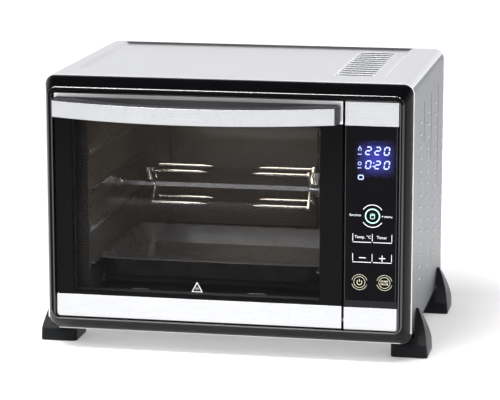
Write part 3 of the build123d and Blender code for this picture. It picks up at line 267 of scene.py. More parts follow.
class Growth:
    """A Geometry Nodes tree under construction."""

    def __init__(self, name, sizes):
        self.tree = bpy.data.node_groups.new(name, "GeometryNodeTree")
        face = self.tree.interface
        face.new_socket("Geometry", in_out="INPUT", socket_type="NodeSocketGeometry")
        kinds = {int: "NodeSocketInt", float: "NodeSocketFloat", tuple: "NodeSocketVector"}
        self.ids = {}
        for key, value in sizes.items():
            kind = kinds.get(type(value), "NodeSocketMaterial")
            self.ids[key] = face.new_socket(key, in_out="INPUT", socket_type=kind).identifier
        face.new_socket("Geometry", in_out="OUTPUT", socket_type="NodeSocketGeometry")
        self.start = self.tree.nodes.new("NodeGroupInput")
        self.sizes = sizes

    def size(self, key):
        return self.start.outputs[key]

    def node(self, kind, settings=None, inputs=None, out=0):
        made = self.tree.nodes.new(kind)
        for key, value in (settings or {}).items():
            setattr(made, key, value)
        for key, value in (inputs or {}).items():
            if isinstance(value, bpy.types.NodeSocket):
                self.tree.links.new(value, made.inputs[key])
            else:
                made.inputs[key].default_value = value
        return made.outputs[out]

    def grown(self, name, geometry):
        """Realise, give the finish, and return the result as a plain mesh."""
        whole = self.node("GeometryNodeRealizeInstances", None, {0: geometry})
        done = self.node(
            "GeometryNodeSetMaterial", None, {"Geometry": whole, "Material": self.size("Finish")},
        )
        end = self.tree.nodes.new("NodeGroupOutput")
        self.tree.links.new(done, end.inputs[0])
        carrier = bpy.data.objects.new("carrier", bpy.data.meshes.new("carrier"))
        bpy.context.scene.collection.objects.link(carrier)
        modifier = carrier.modifiers.new("grow", "NODES")
        modifier.node_group = self.tree
        for key, value in self.sizes.items():
            modifier[self.ids[key]] = value
        bpy.context.view_layer.update()
        seen = carrier.evaluated_get(bpy.context.evaluated_depsgraph_get())
        mesh = bpy.data.meshes.new_from_object(seen)
        mesh.name = name
        bpy.data.objects.remove(carrier)
        return mesh

    def maths(self, operation, left, right):
        return self.node("ShaderNodeMath", {"operation": operation}, {0: left, 1: right})

    def repeat(self, shape, rows):
        """Instances of one shape along rows, each a start, a step and a count."""
        joined = self.tree.nodes.new("GeometryNodeJoinGeometry")
        for start, step, count in rows:
            line = self.node("GeometryNodeMeshLine", {"mode": "OFFSET"},
                             {"Count": count, "Start Location": start, "Offset": step})
            self.tree.links.new(line, joined.inputs[0])
        return self.node("GeometryNodeInstanceOnPoints", None,
                         {"Points": joined.outputs[0], "Instance": shape})


# The dimples are the side steel coloured much lighter: a painted highlight for the glint on each
# raised dimple.
dimple_painted_highlight_steel = brushed(
    "pressed_dimple_painted_highlight_steel", (0.44, 0.45, 0.47), (0.62, 0.63, 0.65), (1, 60, 1), 0.3,
)
DIMPLE_COLUMNS = (0.078, 0.165, 0.248, 0.331)
DIMPLE_LOWEST = 0.098
DIMPLE_SUNK = 0.0003
dimples = Growth("side_dimples", {
    "Radius": 0.0027, "Height": 0.0014, "Pitch": 0.0166, "Count": 14, "Finish": dimple_painted_highlight_steel,
})
dome = dimples.node("GeometryNodeMeshUVSphere", None,
                    {"Segments": 14, "Rings": 9, "Radius": dimples.size("Radius")})
flat = dimples.node("ShaderNodeCombineXYZ", None, {
    0: dimples.maths("DIVIDE", dimples.size("Height"), dimples.size("Radius")), 1: 1.0, 2: 1.0,
})
dome = dimples.node("GeometryNodeTransform", None, {"Geometry": dome, "Scale": flat})
dome = dimples.node("GeometryNodeSetShadeSmooth", None, {0: dome})
up = dimples.node("ShaderNodeCombineXYZ", None, {2: dimples.size("Pitch")})
dimple_rows = [
    ((x, y_case + y, DIMPLE_LOWEST), up, dimples.size("Count"))
    for x in (case_lo.x + DIMPLE_SUNK, case_hi.x - DIMPLE_SUNK) for y in DIMPLE_COLUMNS
]
piece("side_dimples", dimples.grown("side_dimples", dimples.repeat(dome, dimple_rows)),
      "oven")

hoods = Growth("louvre_hoods", {
    "Length": 0.056, "Depth": 0.0085, "Height": 0.0012, "Sheet": 0.0006, "Pitch": 0.020,
    "Count": 12, "Finish": casing_steel,
})
grid = hoods.node("GeometryNodeMeshGrid", None, {
    "Size X": hoods.size("Length"), "Size Y": hoods.size("Depth"),
    "Vertices X": 29, "Vertices Y": 8,
})
spot = hoods.node("GeometryNodeInputPosition")
along = hoods.maths("DIVIDE", hoods.node("ShaderNodeSeparateXYZ", None, {0: spot}, out=0),
                    hoods.maths("MULTIPLY", hoods.size("Length"), 0.5))
across = hoods.maths("ADD", hoods.maths(
    "DIVIDE", hoods.node("ShaderNodeSeparateXYZ", None, {0: spot}, out=1), hoods.size("Depth"),
), 0.5)
along = hoods.maths("MULTIPLY", along, along)
arch = hoods.maths("MULTIPLY", hoods.maths("SUBTRACT", 1.0, hoods.maths("POWER", along, 3.0)),
                   hoods.maths("SUBTRACT", 1.0, hoods.maths("MULTIPLY", across, across)))
rise = hoods.node("ShaderNodeCombineXYZ", None,
                  {2: hoods.maths("MULTIPLY", arch, hoods.size("Height"))})
shell = hoods.node("GeometryNodeSetPosition", None, {"Geometry": grid, "Offset": rise})
skin_up = hoods.node("GeometryNodeExtrudeMesh", {"mode": "FACES"},
                     {"Mesh": shell, "Offset Scale": hoods.size("Sheet"), "Individual": False})
hood = hoods.tree.nodes.new("GeometryNodeJoinGeometry")
hoods.tree.links.new(skin_up, hood.inputs[0])
hoods.tree.links.new(hoods.node("GeometryNodeFlipFaces", None, {0: shell}), hood.inputs[0])
hood = hoods.node("GeometryNodeMergeByDistance", None,
                  {"Geometry": hood.outputs[0], "Distance": 0.000005})
hood = hoods.node("GeometryNodeSetShadeSmooth", None, {0: hood})
back = hoods.node("ShaderNodeCombineXYZ", None, {1: hoods.size("Pitch")})
FIELD_DROP = 0.0032
FIRST_LOUVRE = (0.159, y_case + 0.0865, case_hi.z - FIELD_DROP)
hood_mesh = hoods.grown("louvre_hoods", hoods.repeat(hood, [
    (FIRST_LOUVRE, back, hoods.size("Count")),
]))
hood_mesh.set_sharp_from_angle(angle=math.radians(40))
piece("louvre_hoods", hood_mesh, "oven")


# ---- Front bezel -------------------------------------------------------------
# A polished black moulding like a picture frame, clipped into the casing's front.
# It tapers in to a narrow rounded rim that stands a little ahead of the door and
# the panel.


def polished(name, color, rough=0.09, shine=0.05):
    """Injection-moulded gloss plastic with a faint orange peel and fine dust."""
    gloss = Finish(name, color, Coat_Weight=shine * 0.6, Coat_Roughness=0.05,
                   Specular_IOR_Level=shine)
    peel = gloss.noise(0.0012, 2.0)
    haze = gloss.noise(0.025, 4.0)
    gloss.tint(haze, color, tuple(c * 1.6 + 0.0008 for c in color))
    gloss.feed("Roughness", haze * 0.1 + rough)
    gloss.bump(peel, 0.000015)
    return gloss.material


bezel_black = polished("polished_black_moulding", (0.0012, 0.0013, 0.0016))


def rounded_loop(cx, cz, width, height, radius, steps):
    """Outline of a rounded rectangle as (x, z) points."""
    points = []
    for corner in range(4):
        sx = 1 if corner in (0, 3) else -1
        sz = 1 if corner in (0, 1) else -1
        x = cx + sx * (width / 2 - radius)
        z = cz + sz * (height / 2 - radius)
        for i in range(steps + 1):
            a = math.pi / 2 * (corner + i / steps)
            points.append((x + radius * math.cos(a), z + radius * math.sin(a)))
    return points


def skin(name, rings, smooth):
    """A closed surface over a run of equal rings, joined end to end."""
    bm = bmesh.new()
    rows = [[bm.verts.new(p) for p in ring] for ring in rings]
    count = len(rings[0])
    for a, b in zip(rows, rows[1:] + rows[:1]):
        for i in range(count):
            j = (i + 1) % count
            bm.faces.new((a[i], a[j], b[j], b[i]))
    bmesh.ops.recalc_face_normals(bm, faces=bm.faces)
    return shaded(bm, name, smooth)


bezel_lo, bezel_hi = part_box("front_bezel")
y_rim = bezel_lo.y
RIM_IN = (-0.2335, 0.2340, 0.0470, 0.3560)
RIM_OUT = (-0.2395, 0.2396, 0.0460, 0.3630)
RIM_DEPTH = 0.0016
BACK_RADIUS = 0.0145
FRONT_RADIUS = 0.012


def bezel_ring(y, x0, x1, z0, z1, radius):
    loop = rounded_loop((x0 + x1) / 2, (z0 + z1) / 2, x1 - x0, z1 - z0, radius, 10)
    return [(x, y, z) for x, z in loop]


def bezel_between(t, inset):
    """Ring part way from the casing (t 0) to the rim (t 1)."""
    x = bezel_hi.x + (RIM_OUT[1] - bezel_hi.x) * t - inset
    z0 = bezel_lo.z + (RIM_OUT[2] - bezel_lo.z) * t + inset
    z1 = bezel_hi.z + (RIM_OUT[3] - bezel_hi.z) * t - inset
    y = y_case + (y_rim - y_case) * t
    return bezel_ring(y, -x, x, z0, z1, BACK_RADIUS + (FRONT_RADIUS - BACK_RADIUS) * t - inset)


bezel_rings = [
    bezel_between(0.0, 0.0032), bezel_between(0.0, 0.0013), bezel_between(0.03, 0.0010),
    bezel_between(0.35, 0.0002), bezel_between(0.7, -0.0003), bezel_between(0.95, 0.0),
]
for out, ahead in ((0.9, 0.985), (0.65, 1.0), (0.3, 1.0), (0.08, 0.985)):
    edges = [i + (o - i) * out for i, o in zip(RIM_IN, RIM_OUT)]
    bezel_rings.append(bezel_ring(
        y_case + (y_rim - y_case) * ahead, *edges, 0.0065 + 0.005 * out,
    ))
bezel_rings += [
    bezel_ring(y_rim + 0.0012, *RIM_IN, 0.006), bezel_ring(y_rim + 0.0030, *RIM_IN, 0.006),
    bezel_between(0.86, 0.0026),
]
bezel = piece("bezel_frame", skin("bezel_frame", bezel_rings, 50), "oven",
              bezel_black)
bezel.data.materials.append(
    polished("buffed_rim_edge", (0.002, 0.002, 0.0025), 0.04, shine=0.7),
)
for face in bezel.data.polygons:
    if face.center.y < y_rim + RIM_DEPTH and -0.97 < face.normal.y < -0.2:
        face.material_index = 1
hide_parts("front_bezel")

# ---- Chassis, base and rear cover ---------------------------------------------
# Folded sheet steel: a zinc-coated base pan, heat shield and hinge brackets, and a
# black powder-coated cover with rows of cooling slots, screwed on across the back.


def coated(name, color, rough=0.5, grain=0.0009, depth=0.00005, swing=1.5):
    """Powder coat or textured moulding: a fine pebbled skin."""
    coat = Finish(name, color)
    pebble = coat.noise(grain, 3.0)
    cloud = coat.noise(0.04, 3.0)
    coat.tint(pebble * 0.5 + cloud * 0.5, tuple(c * 0.8 for c in color),
              tuple(c * swing for c in color))
    coat.feed("Roughness", pebble * 0.18 + cloud * 0.1 + (rough - 0.14))
    coat.bump(pebble, depth)
    return coat.material


cover_black = coated("black_powder_coat", (0.018, 0.018, 0.019), 0.5)
zinc_sheet = brushed("zinc_sheet", (0.42, 0.42, 0.41), (0.55, 0.55, 0.54), (4, 4, 1), 0.5)
worked("rear_cover", cover_black, edge=0.0004, smooth=25)
worked("base_plate", zinc_sheet, smooth=30)
worked("heat_shield", zinc_sheet)
worked("hinge_brackets", zinc_sheet, edge=0.0003)

# ---- Screws --------------------------------------------------------------------
# Pan-head self-tapping screws with a cross recess, black along the back and
# zinc plated elsewhere; the small fittings of the door share the zinc plate.
screw_black = coated("black_oxide_screw", (0.03, 0.03, 0.032), 0.38, 0.0004, 0.00001)
screw_zinc = brushed("zinc_plate", (0.50, 0.50, 0.48), (0.64, 0.64, 0.61), (2, 2, 2), 0.35)
HEAD_RADIUS = 0.004
HEAD_HEIGHT = 0.0024
RECESS_LENGTH = 1.15     # of the head's radius
RECESS_WIDTH = 0.24


def rearmost_points(node):
    """Middle of the rear face of each loose solid of a CAD node."""
    bm = cad_copy(node)
    left = set(bm.verts)
    found = []
    while left:
        grown = {left.pop()}
        edge = list(grown)
        while edge:
            vert = edge.pop()
            for link in vert.link_edges:
                other = link.other_vert(vert)
                if other in left:
                    left.discard(other)
                    grown.add(other)
                    edge.append(other)
        lo = Vector([min(v.co[i] for v in grown) for i in range(3)])
        hi = Vector([max(v.co[i] for v in grown) for i in range(3)])
        found.append(Vector(((lo.x + hi.x) / 2, hi.y, (lo.z + hi.z) / 2)))
    bm.free()
    return sorted(found, key=tuple)


head = Growth("screw_head", {
    "Radius": HEAD_RADIUS, "Height": HEAD_HEIGHT, "Finish": screw_black,
})
cut = head.tree.nodes.new("GeometryNodeMeshBoolean")
cut.operation = "DIFFERENCE"
head.tree.links.new(head.node(
    "GeometryNodeMeshCylinder", {"fill_type": "NGON"},
    {"Vertices": 20, "Radius": head.size("Radius"), "Depth": head.size("Height")},
), cut.inputs["Mesh 1"])
recess_long = head.maths("MULTIPLY", head.size("Radius"), RECESS_LENGTH)
recess_thin = head.maths("MULTIPLY", head.size("Radius"), RECESS_WIDTH)
lift = head.node("ShaderNodeCombineXYZ", None,
                 {2: head.maths("MULTIPLY", head.size("Height"), 0.55)})
for wide, tall in ((recess_long, recess_thin), (recess_thin, recess_long)):
    extent = head.node("ShaderNodeCombineXYZ", None, {0: wide, 1: tall, 2: head.size("Height")})
    bar = head.node("GeometryNodeMeshCube", None, {"Size": extent})
    bar = head.node("GeometryNodeTransform", None, {"Geometry": bar, "Translation": lift})
    head.tree.links.new(bar, cut.inputs["Mesh 2"])
one_head = head.grown("one_head", cut.outputs["Mesh"])
heads = bmesh.new()
facing_back = Vector((0, 0, 1)).rotation_difference(Vector((0, 1, 0))).to_matrix().to_4x4()
for spot in rearmost_points("rear_screws"):
    spot.y -= HEAD_HEIGHT / 2
    placed = one_head.copy()
    placed.transform(Matrix.Translation(spot) @ facing_back)
    heads.from_mesh(placed)
    bpy.data.meshes.remove(placed)
head_mesh = bpy.data.meshes.new("rear_screw_heads")
heads.to_mesh(head_mesh)
heads.free()
screws = piece("rear_screw_heads", head_mesh, "oven", screw_black)
screw_bevel = screws.modifiers.new("edges", "BEVEL")
screw_bevel.width = HEAD_HEIGHT * 0.18
screw_bevel.segments = 2
screw_bevel.limit_method = "ANGLE"
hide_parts("rear_screws")

# ---- Oven cavity ---------------------------------------------------------------
# Five pressed steel sheets and the front plate round them, under a dark grey-brown
# fired enamel that is finely speckled and slightly shiny. The shelf guides on both
# side walls are folded strips of bright steel.


def enamel(name, dark, light, rough=0.32):
    """Fired vitreous enamel: smooth, faintly wavy, with tiny specks."""
    glaze = Finish(name, dark, Coat_Weight=0.25, Coat_Roughness=0.12)
    speck = glaze.noise(0.0011, 4.0)
    wave = glaze.noise(0.02, 2.0)
    spots = (speck > 0.62) * 0.7 + wave * 0.3
    glaze.tint(spots, dark, light)
    glaze.feed("Roughness", wave * 0.15 + (rough - 0.05))
    glaze.bump(wave * 0.8 + speck * 0.2, 0.00012)
    return glaze.material


cavity_enamel = enamel("grey_cavity_enamel", (0.040, 0.036, 0.033), (0.085, 0.078, 0.070))
for node in ("cavity_left", "cavity_right", "cavity_ceiling", "cavity_floor", "cavity_back",
             "front_plate"):
    worked(node, cavity_enamel, smooth=25)

chromed = brushed("polished_steel_wire", (0.60, 0.60, 0.61), (0.80, 0.80, 0.81), (6, 6, 6), 0.2,
                  0.1)
for node in ("left_guides", "right_guides"):
    worked(node, chromed, edge=0.0003)

# ---- Heating rods ----------------------------------------------------------------
# Four steel-sheathed rods, blued by heat, two above and two below the food.
# White ceramic bushings hold their ends in the walls.
rod_steel = coated("heat_blued_sheath", (0.11, 0.10, 0.095), 0.45, 0.0015, 0.00003, 1.8)
ceramic = coated("white_steatite", (0.62, 0.60, 0.55), 0.6, 0.0008, 0.00003, 1.15)
worked("upper_heaters", rod_steel)
worked("lower_heaters", rod_steel)
worked("heater_insulators", ceramic, edge=0.0005)

# ---- Hot-air fan -----------------------------------------------------------------
# A pressed impeller behind a perforated round grille on the right-hand wall,
# turned by a motor of stacked steel sheets outside it.
worked("fan_grille", chromed, smooth=35)
worked("fan_impeller", zinc_sheet, smooth=35)
motor_steel = brushed("motor_laminations", (0.20, 0.20, 0.20), (0.38, 0.38, 0.38), (1, 30, 30))
worked("fan_motor", motor_steel, edge=0.0005)

# ---- Rotisserie --------------------------------------------------------------------
# A square bright-steel spit between a slow motor's coupling and a bearing, and two
# four-tined forks that slide along it, each clamped by a knurled thumbscrew.
worked("spit_motor", motor_steel, edge=0.0005)
for node in ("spit_rod", "drive_coupling", "spit_bearing", "left_fork", "right_fork",
             "left_thumbscrew", "right_thumbscrew"):
    worked(node, chromed, edge=0.00035 if "fork" in node or "rod" in node else 0.0003)

# ---- Baking tray -------------------------------------------------------------------
# One deep-drawn steel tray in dark enamel. Its flat rim rides on the lowest pair
# of shelf guides.
tray_enamel = enamel("dark_tray_enamel", (0.050, 0.050, 0.053), (0.105, 0.105, 0.110), 0.26)
worked("baking_tray", tray_enamel, edge=0.0004, smooth=35)

# ---- Cavity lamp and sensors ---------------------------------------------------------
# A ceramic lamp cup with a small bulb behind a domed glass, a rod thermometer and
# a cut-out button.
lamp_glass = Finish("lamp_glass", (0.95, 0.90, 0.80), Roughness=0.12, Alpha=0.45, IOR=1.45)
lamp_ripple = lamp_glass.noise(0.006, 1.0)
lamp_glass.tint(lamp_ripple, (0.95, 0.86, 0.70), (0.98, 0.94, 0.88))
lamp_glass.bump(lamp_ripple, 0.0004)
worked("lamp_holder", ceramic, edge=0.0004)
worked("lamp_lens", lamp_glass.material, smooth=40)
worked("lamp_bulb", lamp_glass.material, smooth=40)
worked("temperature_probe", chromed, edge=0.0003)
worked("thermal_cutout", screw_zinc, edge=0.0003)

# ---- Electrical bay --------------------------------------------------------------------
# The power board on its shield and the terminal block by the cord entry: green
# laminate and black moulded plastic, fixed to the sheet metal.
board_green = coated("solder_mask", (0.012, 0.09, 0.035), 0.35, 0.002, 0.00002, 1.6)
moulded_black = coated("black_moulding", (0.016, 0.016, 0.017), 0.42, 0.0007, 0.00003)
worked("power_board", board_green, edge=0.0004)
worked("terminal_block", moulded_black, edge=0.0005)
worked("cord_gland", moulded_black, edge=0.0004)

# ---- Feet --------------------------------------------------------------------------
# Four black mouldings screwed under the corners, each with a fin that climbs the
# side of the casing, on soft rubber pads.
foot_black = polished("satin_foot_moulding", (0.009, 0.0095, 0.011), 0.24)
worked("left_feet", foot_black, edge=0.0008, smooth=35, segments=3)
worked("right_feet", foot_black, edge=0.0008, smooth=35, segments=3)
pad_rubber = coated("pad_rubber", (0.02, 0.02, 0.02), 0.8, 0.0005, 0.00004)
worked("foot_pads", pad_rubber, edge=0.0004)
worked("foot_screws", screw_zinc)

# ---- Control panel ---------------------------------------------------------------------
# A black carrier, a brushed plate above and below, and a touch glass between
# them with printed keys over a lit display.
strip_grey = polished("grey_panel_moulding", (0.011, 0.011, 0.0125), 0.3)
worked("panel_frame", strip_grey, edge=0.0003)
plate_steel = brushed("brushed_trim_steel", (0.45, 0.455, 0.465), (0.68, 0.685, 0.70),
                      (160, 1, 1), 0.26)
worked("badge_plate", plate_steel, edge=0.0003)
worked("panel_trim_plate", plate_steel, edge=0.0003)

touch_black = Finish("black_touch_glass", (0.002, 0.002, 0.003), Specular_IOR_Level=0.04)
smear = touch_black.noise(0.03, 5.0)
touch_black.tint(smear, (0.0015, 0.0015, 0.0022), (0.004, 0.004, 0.0055))
touch_black.feed("Roughness", smear * 0.12 + 0.02)
worked("touch_glass", touch_black.material, edge=0.0004)
worked("display_module", moulded_black)
worked("touch_board", board_green)


def prism(bm, outline, front, back):
    """Flat printed or moulded shape facing the front, added to a mesh."""
    near = [bm.verts.new((x, front, z)) for x, z in outline]
    far = [bm.verts.new((x, back, z)) for x, z in outline]
    count = len(outline)
    bm.faces.new(near)
    bm.faces.new(list(reversed(far)))
    for i in range(count):
        j = (i + 1) % count
        bm.faces.new((near[j], near[i], far[i], far[j]))


def stroke(points, width, closed=False):
    """Quads that draw a line of one width through points."""
    count = len(points)
    sides = []
    for i, (x, z) in enumerate(points):
        before = points[i - 1] if i or closed else points[i]
        after = points[(i + 1) % count] if i < count - 1 or closed else points[i]
        along = Vector((after[0] - before[0], after[1] - before[1])).normalized()
        back = Vector((x - before[0], z - before[1]))
        reach = 1.0
        if back.length > 0 and (Vector(after) - Vector((x, z))).length > 0:
            reach = min(1 / max(along.dot(back.normalized()), 0.5), 2.0)
        off = Vector((-along.y, along.x)) * width / 2 * reach
        sides.append(((x + off.x, z + off.y), (x - off.x, z - off.y)))
    spans = list(zip(sides, sides[1:] + (sides[:1] if closed else [])))
    return [(a[0], a[1], b[1], b[0]) for a, b in spans]


def arc(cx, cz, radius, start, end, steps=20):
    angles = [math.radians(start + (end - start) * i / steps) for i in range(steps + 1)]
    return [(cx + radius * math.cos(a), cz + radius * math.sin(a)) for a in angles]


def circle(cx, cz, radius, steps=36):
    return arc(cx, cz, radius, 0, 360 * (steps - 1) / steps, steps - 1)


panel_lo, panel_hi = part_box("touch_glass")
PRINT_RISE = 0.00012


def printed(name, outlines, finish, body="oven", face=panel_lo.y, rise=PRINT_RISE):
    """A print standing a hair proud of a glass face; outlines in millimetres."""
    bm = bmesh.new()
    for outline in outlines:
        prism(bm, [(x * 0.001, z * 0.001) for x, z in outline], face - rise, face + 0.00005)
    bmesh.ops.recalc_face_normals(bm, faces=bm.faces)
    mesh = bpy.data.meshes.new(name)
    bm.to_mesh(mesh)
    bm.free()
    return piece(name, mesh, body, finish)


def words(text, cx, cz, height):
    """Outlines of a short word, as triangles, centred on a point in millimetres."""
    curve = bpy.data.curves.new("words", "FONT")
    curve.body = text
    curve.size = height * 1.35
    curve.align_x = "CENTER"
    curve.align_y = "CENTER"
    curve.resolution_u = 2
    holder = bpy.data.objects.new("words", curve)
    bpy.context.scene.collection.objects.link(holder)
    bpy.context.view_layer.update()
    seen = holder.evaluated_get(bpy.context.evaluated_depsgraph_get())
    mesh = bpy.data.meshes.new_from_object(seen)
    mesh.calc_loop_triangles()
    shapes = [
        [(cx + mesh.vertices[v].co.x, cz + mesh.vertices[v].co.y) for v in tri.vertices]
        for tri in mesh.loop_triangles
    ]
    bpy.data.objects.remove(holder)
    bpy.data.meshes.remove(mesh)
    return shapes


SLANT = 0.16


def segment_digit(figure, x0, z0, wide, tall, thick):
    """Seven-segment figure leaning to the right."""
    lit = {
        "0": "abcdef", "1": "bc", "2": "abged", "3": "abgcd", "4": "fgbc", "5": "afgcd",
        "6": "afgedc", "7": "abc", "8": "abcdefg", "9": "abcdfg",
    }[figure]
    t = thick / 2
    gap = thick * 0.18
    mid = tall / 2
    ends = {
        "a": ((t, tall - t), (wide - t, tall - t)), "g": ((t, mid), (wide - t, mid)),
        "d": ((t, t), (wide - t, t)), "f": ((t, mid), (t, tall - t)), "e": ((t, t), (t, mid)),
        "b": ((wide - t, mid), (wide - t, tall - t)), "c": ((wide - t, t), (wide - t, mid)),
    }
    shapes = []
    for name in lit:
        a, b = (Vector(p) for p in ends[name])
        along = (b - a).normalized()
        side = Vector((-along.y, along.x)) * t
        a, b = a + along * gap, b - along * gap
        ring = [a, a + along * t + side, b - along * t + side, b, b - along * t - side,
                a + along * t - side]
        shapes.append([(x0 + p.x + p.y * SLANT, z0 + p.y) for p in reversed(ring)])
    return shapes


FIGURES_LEFT, FIGURE_PITCH = 187.8, 12.2
FIGURE_WIDE, FIGURE_TALL, FIGURE_THICK = 7.9, 11.6, 1.65
COLON_DOTS = (3.6, 8.4)
BARS_LEFT, BARS_RIGHT = 178.6, 183.6
figures = []
for row_z, text in ((284.2, "220"), (265.7, "0:20")):
    at = FIGURES_LEFT
    for mark in text:
        if mark == ":":
            for dz in COLON_DOTS:
                figures.append([(at - 1.4 + dz * SLANT + 0.75 * x, row_z + dz + 0.75 * z)
                                for x, z in ((-1, -1), (1, -1), (1, 1), (-1, 1))])
            continue
        figures += segment_digit(mark, at, row_z, FIGURE_WIDE, FIGURE_TALL, FIGURE_THICK)
        at += FIGURE_PITCH
for low in (284.6, 266.4):
    figures.append([(BARS_LEFT, low), (BARS_RIGHT, low), (BARS_RIGHT, low + 0.9),
                    (BARS_LEFT, low + 0.9)])
# the small symbols for heat, time and pan
figures += stroke(arc(181.4, 291.6, 2.0, 300, 600), 0.8)
figures += stroke([(181.4, 293.4), (181.4, 296.0)], 0.9)
figures += stroke(circle(181.2, 272.8, 2.1), 0.7, True)
figures += stroke(rounded_loop(182.9, 254.4, 6.6, 5.4, 1.8, 4), 1.3, True)
segment_light = Finish("lit_segments", (0.1, 0.12, 0.2), Roughness=0.4, Emission_Strength=1.7)
segment_light.glow(segment_light.noise(0.004, 1.0), (0.30, 0.38, 1.0), (0.55, 0.62, 1.0))
printed("display_figures", figures, segment_light.material, rise=0.0002)

halo = Finish("blue_display_glow", (0.0, 0.0, 0.01), Roughness=0.3, Emission_Strength=1.0)
halo_x, _, halo_z = halo.axes()
GLOW_X, GLOW_Z = 203.0, 279.5
halo_across = (halo_x - GLOW_X * 0.001) / 0.0285
halo_up = (halo_z - GLOW_Z * 0.001) / 0.0265
halo_depth = (halo.maths("MAXIMUM", 1 - halo_across * halo_across, 0.0)
              * halo.maths("MAXIMUM", 1 - halo_up * halo_up, 0.0))
halo.glow(halo_depth, (0.002, 0.002, 0.05), (0.010, 0.010, 0.40))
halo.feed("Alpha", halo_depth * 0.92)
printed("display_glow", [rounded_loop(GLOW_X, GLOW_Z, 56, 52, 10, 6)], halo.material,
        rise=0.00008)

# White print for the keys and the door's warning sign; its colour is the print's own, and its faint
# emission is a painted glow on top.
white_ink_painted_glow = Finish("white_print_painted_glow", (0.75, 0.76, 0.78), Roughness=0.5, Emission_Strength=0.35)
ink_grain = white_ink_painted_glow.noise(0.002, 2.0)
white_ink_painted_glow.tint(ink_grain, (0.62, 0.63, 0.66), (0.85, 0.86, 0.9))
white_ink_painted_glow.glow(ink_grain, (0.62, 0.63, 0.66), (0.85, 0.86, 0.9))
KEY_X, KEY_Z = 198.9, 202.9
marks = []
for start in (35, 215):
    marks += stroke(arc(KEY_X, KEY_Z, 15.0, start, start + 110), 0.9)
marks += words("function", 176.2, 203.6, 3.5) + words("menu", 219.8, 202.6, 3.5)
marks += stroke(circle(212.2, 202.9, 0.5, 8), 0.7, True)
KEYS_LEFT, KEYS_RIGHT, KEY_GAP = 173.0, 224.8, 2.6
for base_z in (167.4, 140.4):
    marks += stroke([(KEYS_LEFT, base_z), (KEY_X - KEY_GAP / 2, base_z)], 0.8)
    marks += stroke([(KEY_X + KEY_GAP / 2, base_z), (KEYS_RIGHT, base_z)], 0.8)
    for x in (KEYS_LEFT, KEY_X, KEYS_RIGHT):
        marks += stroke([(x, base_z + 1.4), (x, base_z + 11.4)], 0.7)
marks += words("Temp. \u00b0C", 186.2, 174.2, 4.1) + words("Timer", 211.6, 174.2, 4.1)
marks += stroke([(181.5, 146.4), (190.5, 146.4)], 1.0)
marks += stroke([(208.0, 146.2), (216.4, 146.2)], 1.0)
marks += stroke([(212.2, 142.0), (212.2, 150.4)], 1.0)
printed("key_marks", marks, white_ink_painted_glow.material)

# Thin grey lines laid down both sides of the black touch glass: a painted highlight along its
# bevelled edges.
edge_painted_highlight = Finish("glass_edge_painted_highlight", (0.07, 0.07, 0.08), Roughness=0.4)
edge_painted_highlight.tint(edge_painted_highlight.noise(0.004, 2.0), (0.02, 0.02, 0.023), (0.045, 0.045, 0.05))
edge_highlight_lines = []
for x in (panel_lo.x * 1000 + 1.1, panel_hi.x * 1000 - 2.2):
    edge_highlight_lines += stroke([(x, panel_lo.z * 1000 + 0.5), (x, panel_hi.z * 1000 - 0.5)], 0.55)
printed("touch_glass_edge_highlights", edge_highlight_lines, edge_painted_highlight.material)

# Beige print for the round keys; its colour is the print's own, and its faint emission is a painted
# glow on top.
warm_ink_painted_glow = Finish("warm_print_painted_glow", (0.72, 0.70, 0.48), Roughness=0.5, Emission_Strength=0.4)
warm_grain = warm_ink_painted_glow.noise(0.002, 2.0)
warm_ink_painted_glow.tint(warm_grain, (0.55, 0.54, 0.36), (0.80, 0.79, 0.6))
warm_ink_painted_glow.glow(warm_grain, (0.55, 0.54, 0.36), (0.80, 0.79, 0.6))
POWER_X, START_X = 182.3, 215.7
rings = []
for cx, cz in ((POWER_X, 113.2), (START_X, 113.4)):
    for start in (16, 196):
        rings += stroke(arc(cx, cz, 10.3, start, start + 148), 0.4)
    rings += stroke(circle(cx, cz, 7.4), 0.45, True)
rings += stroke(arc(POWER_X, 112.9, 3.2, 130, 410), 0.7)
rings += stroke([(POWER_X, 113.6), (POWER_X, 117.4)], 0.7)
rings += words("START", START_X, 115.2, 2.7) + words("PAUSE", START_X, 111.4, 2.7)
printed("round_keys", rings, warm_ink_painted_glow.material)

turquoise = Finish("lit_ring", (0.3, 0.5, 0.45), Roughness=0.4, Emission_Strength=1.1)
turquoise.glow(turquoise.noise(0.003, 2.0), (0.25, 0.62, 0.52), (0.62, 0.92, 0.84))
printed("function_ring", stroke(circle(KEY_X, KEY_Z, 9.3, 48), 1.5, True)
        + stroke(rounded_loop(KEY_X, KEY_Z - 0.4, 5.4, 6.4, 1.2, 3), 0.7, True)
        + stroke([(KEY_X - 1.4, KEY_Z + 1.0), (KEY_X + 1.4, KEY_Z + 1.0)], 1.2),
        turquoise.material)


# ---- Door --------------------------------------------------------------------------------
# A moulded frame between an outer pane with a printed black border and a clear
# inner pane held by clips, with brushed trims along the top and bottom. It hangs on
# two pins at its lower edge and stops against two stay arms.
worked("door_frame", moulded_black, edge=0.0005)
for node in ("hinge_pins", "glass_clips", "stay_arms"):
    worked(node, screw_zinc, edge=0.0003)
door_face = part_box("outer_glass")[0].y
WINDOW = (-0.2085, 0.1285, 0.0845, 0.3185)  # left, right, bottom, top


def pane(name, color, clear, border):
    """Tempered glass, as opaque as clear says, with or without a solid border."""
    glass = Finish(name, color, Specular_IOR_Level=0.06, Roughness=0.03)
    x, _, z = glass.axes()
    left, right, bottom, top = WINDOW
    away_x = glass.maths("ABSOLUTE", x - (left + right) / 2)
    away_z = glass.maths("ABSOLUTE", z - (bottom + top) / 2)
    outside = glass.maths("MAXIMUM", away_x > (right - left) / 2, away_z > (top - bottom) / 2)
    film = glass.noise(0.05, 3.0)
    glass.tint(film, color, tuple(c * 1.5 for c in color))
    solid = outside if border else outside * 0.0
    glass.feed("Alpha", solid * (1 - clear) + film * 0.02 + (clear - 0.01))
    return glass.material


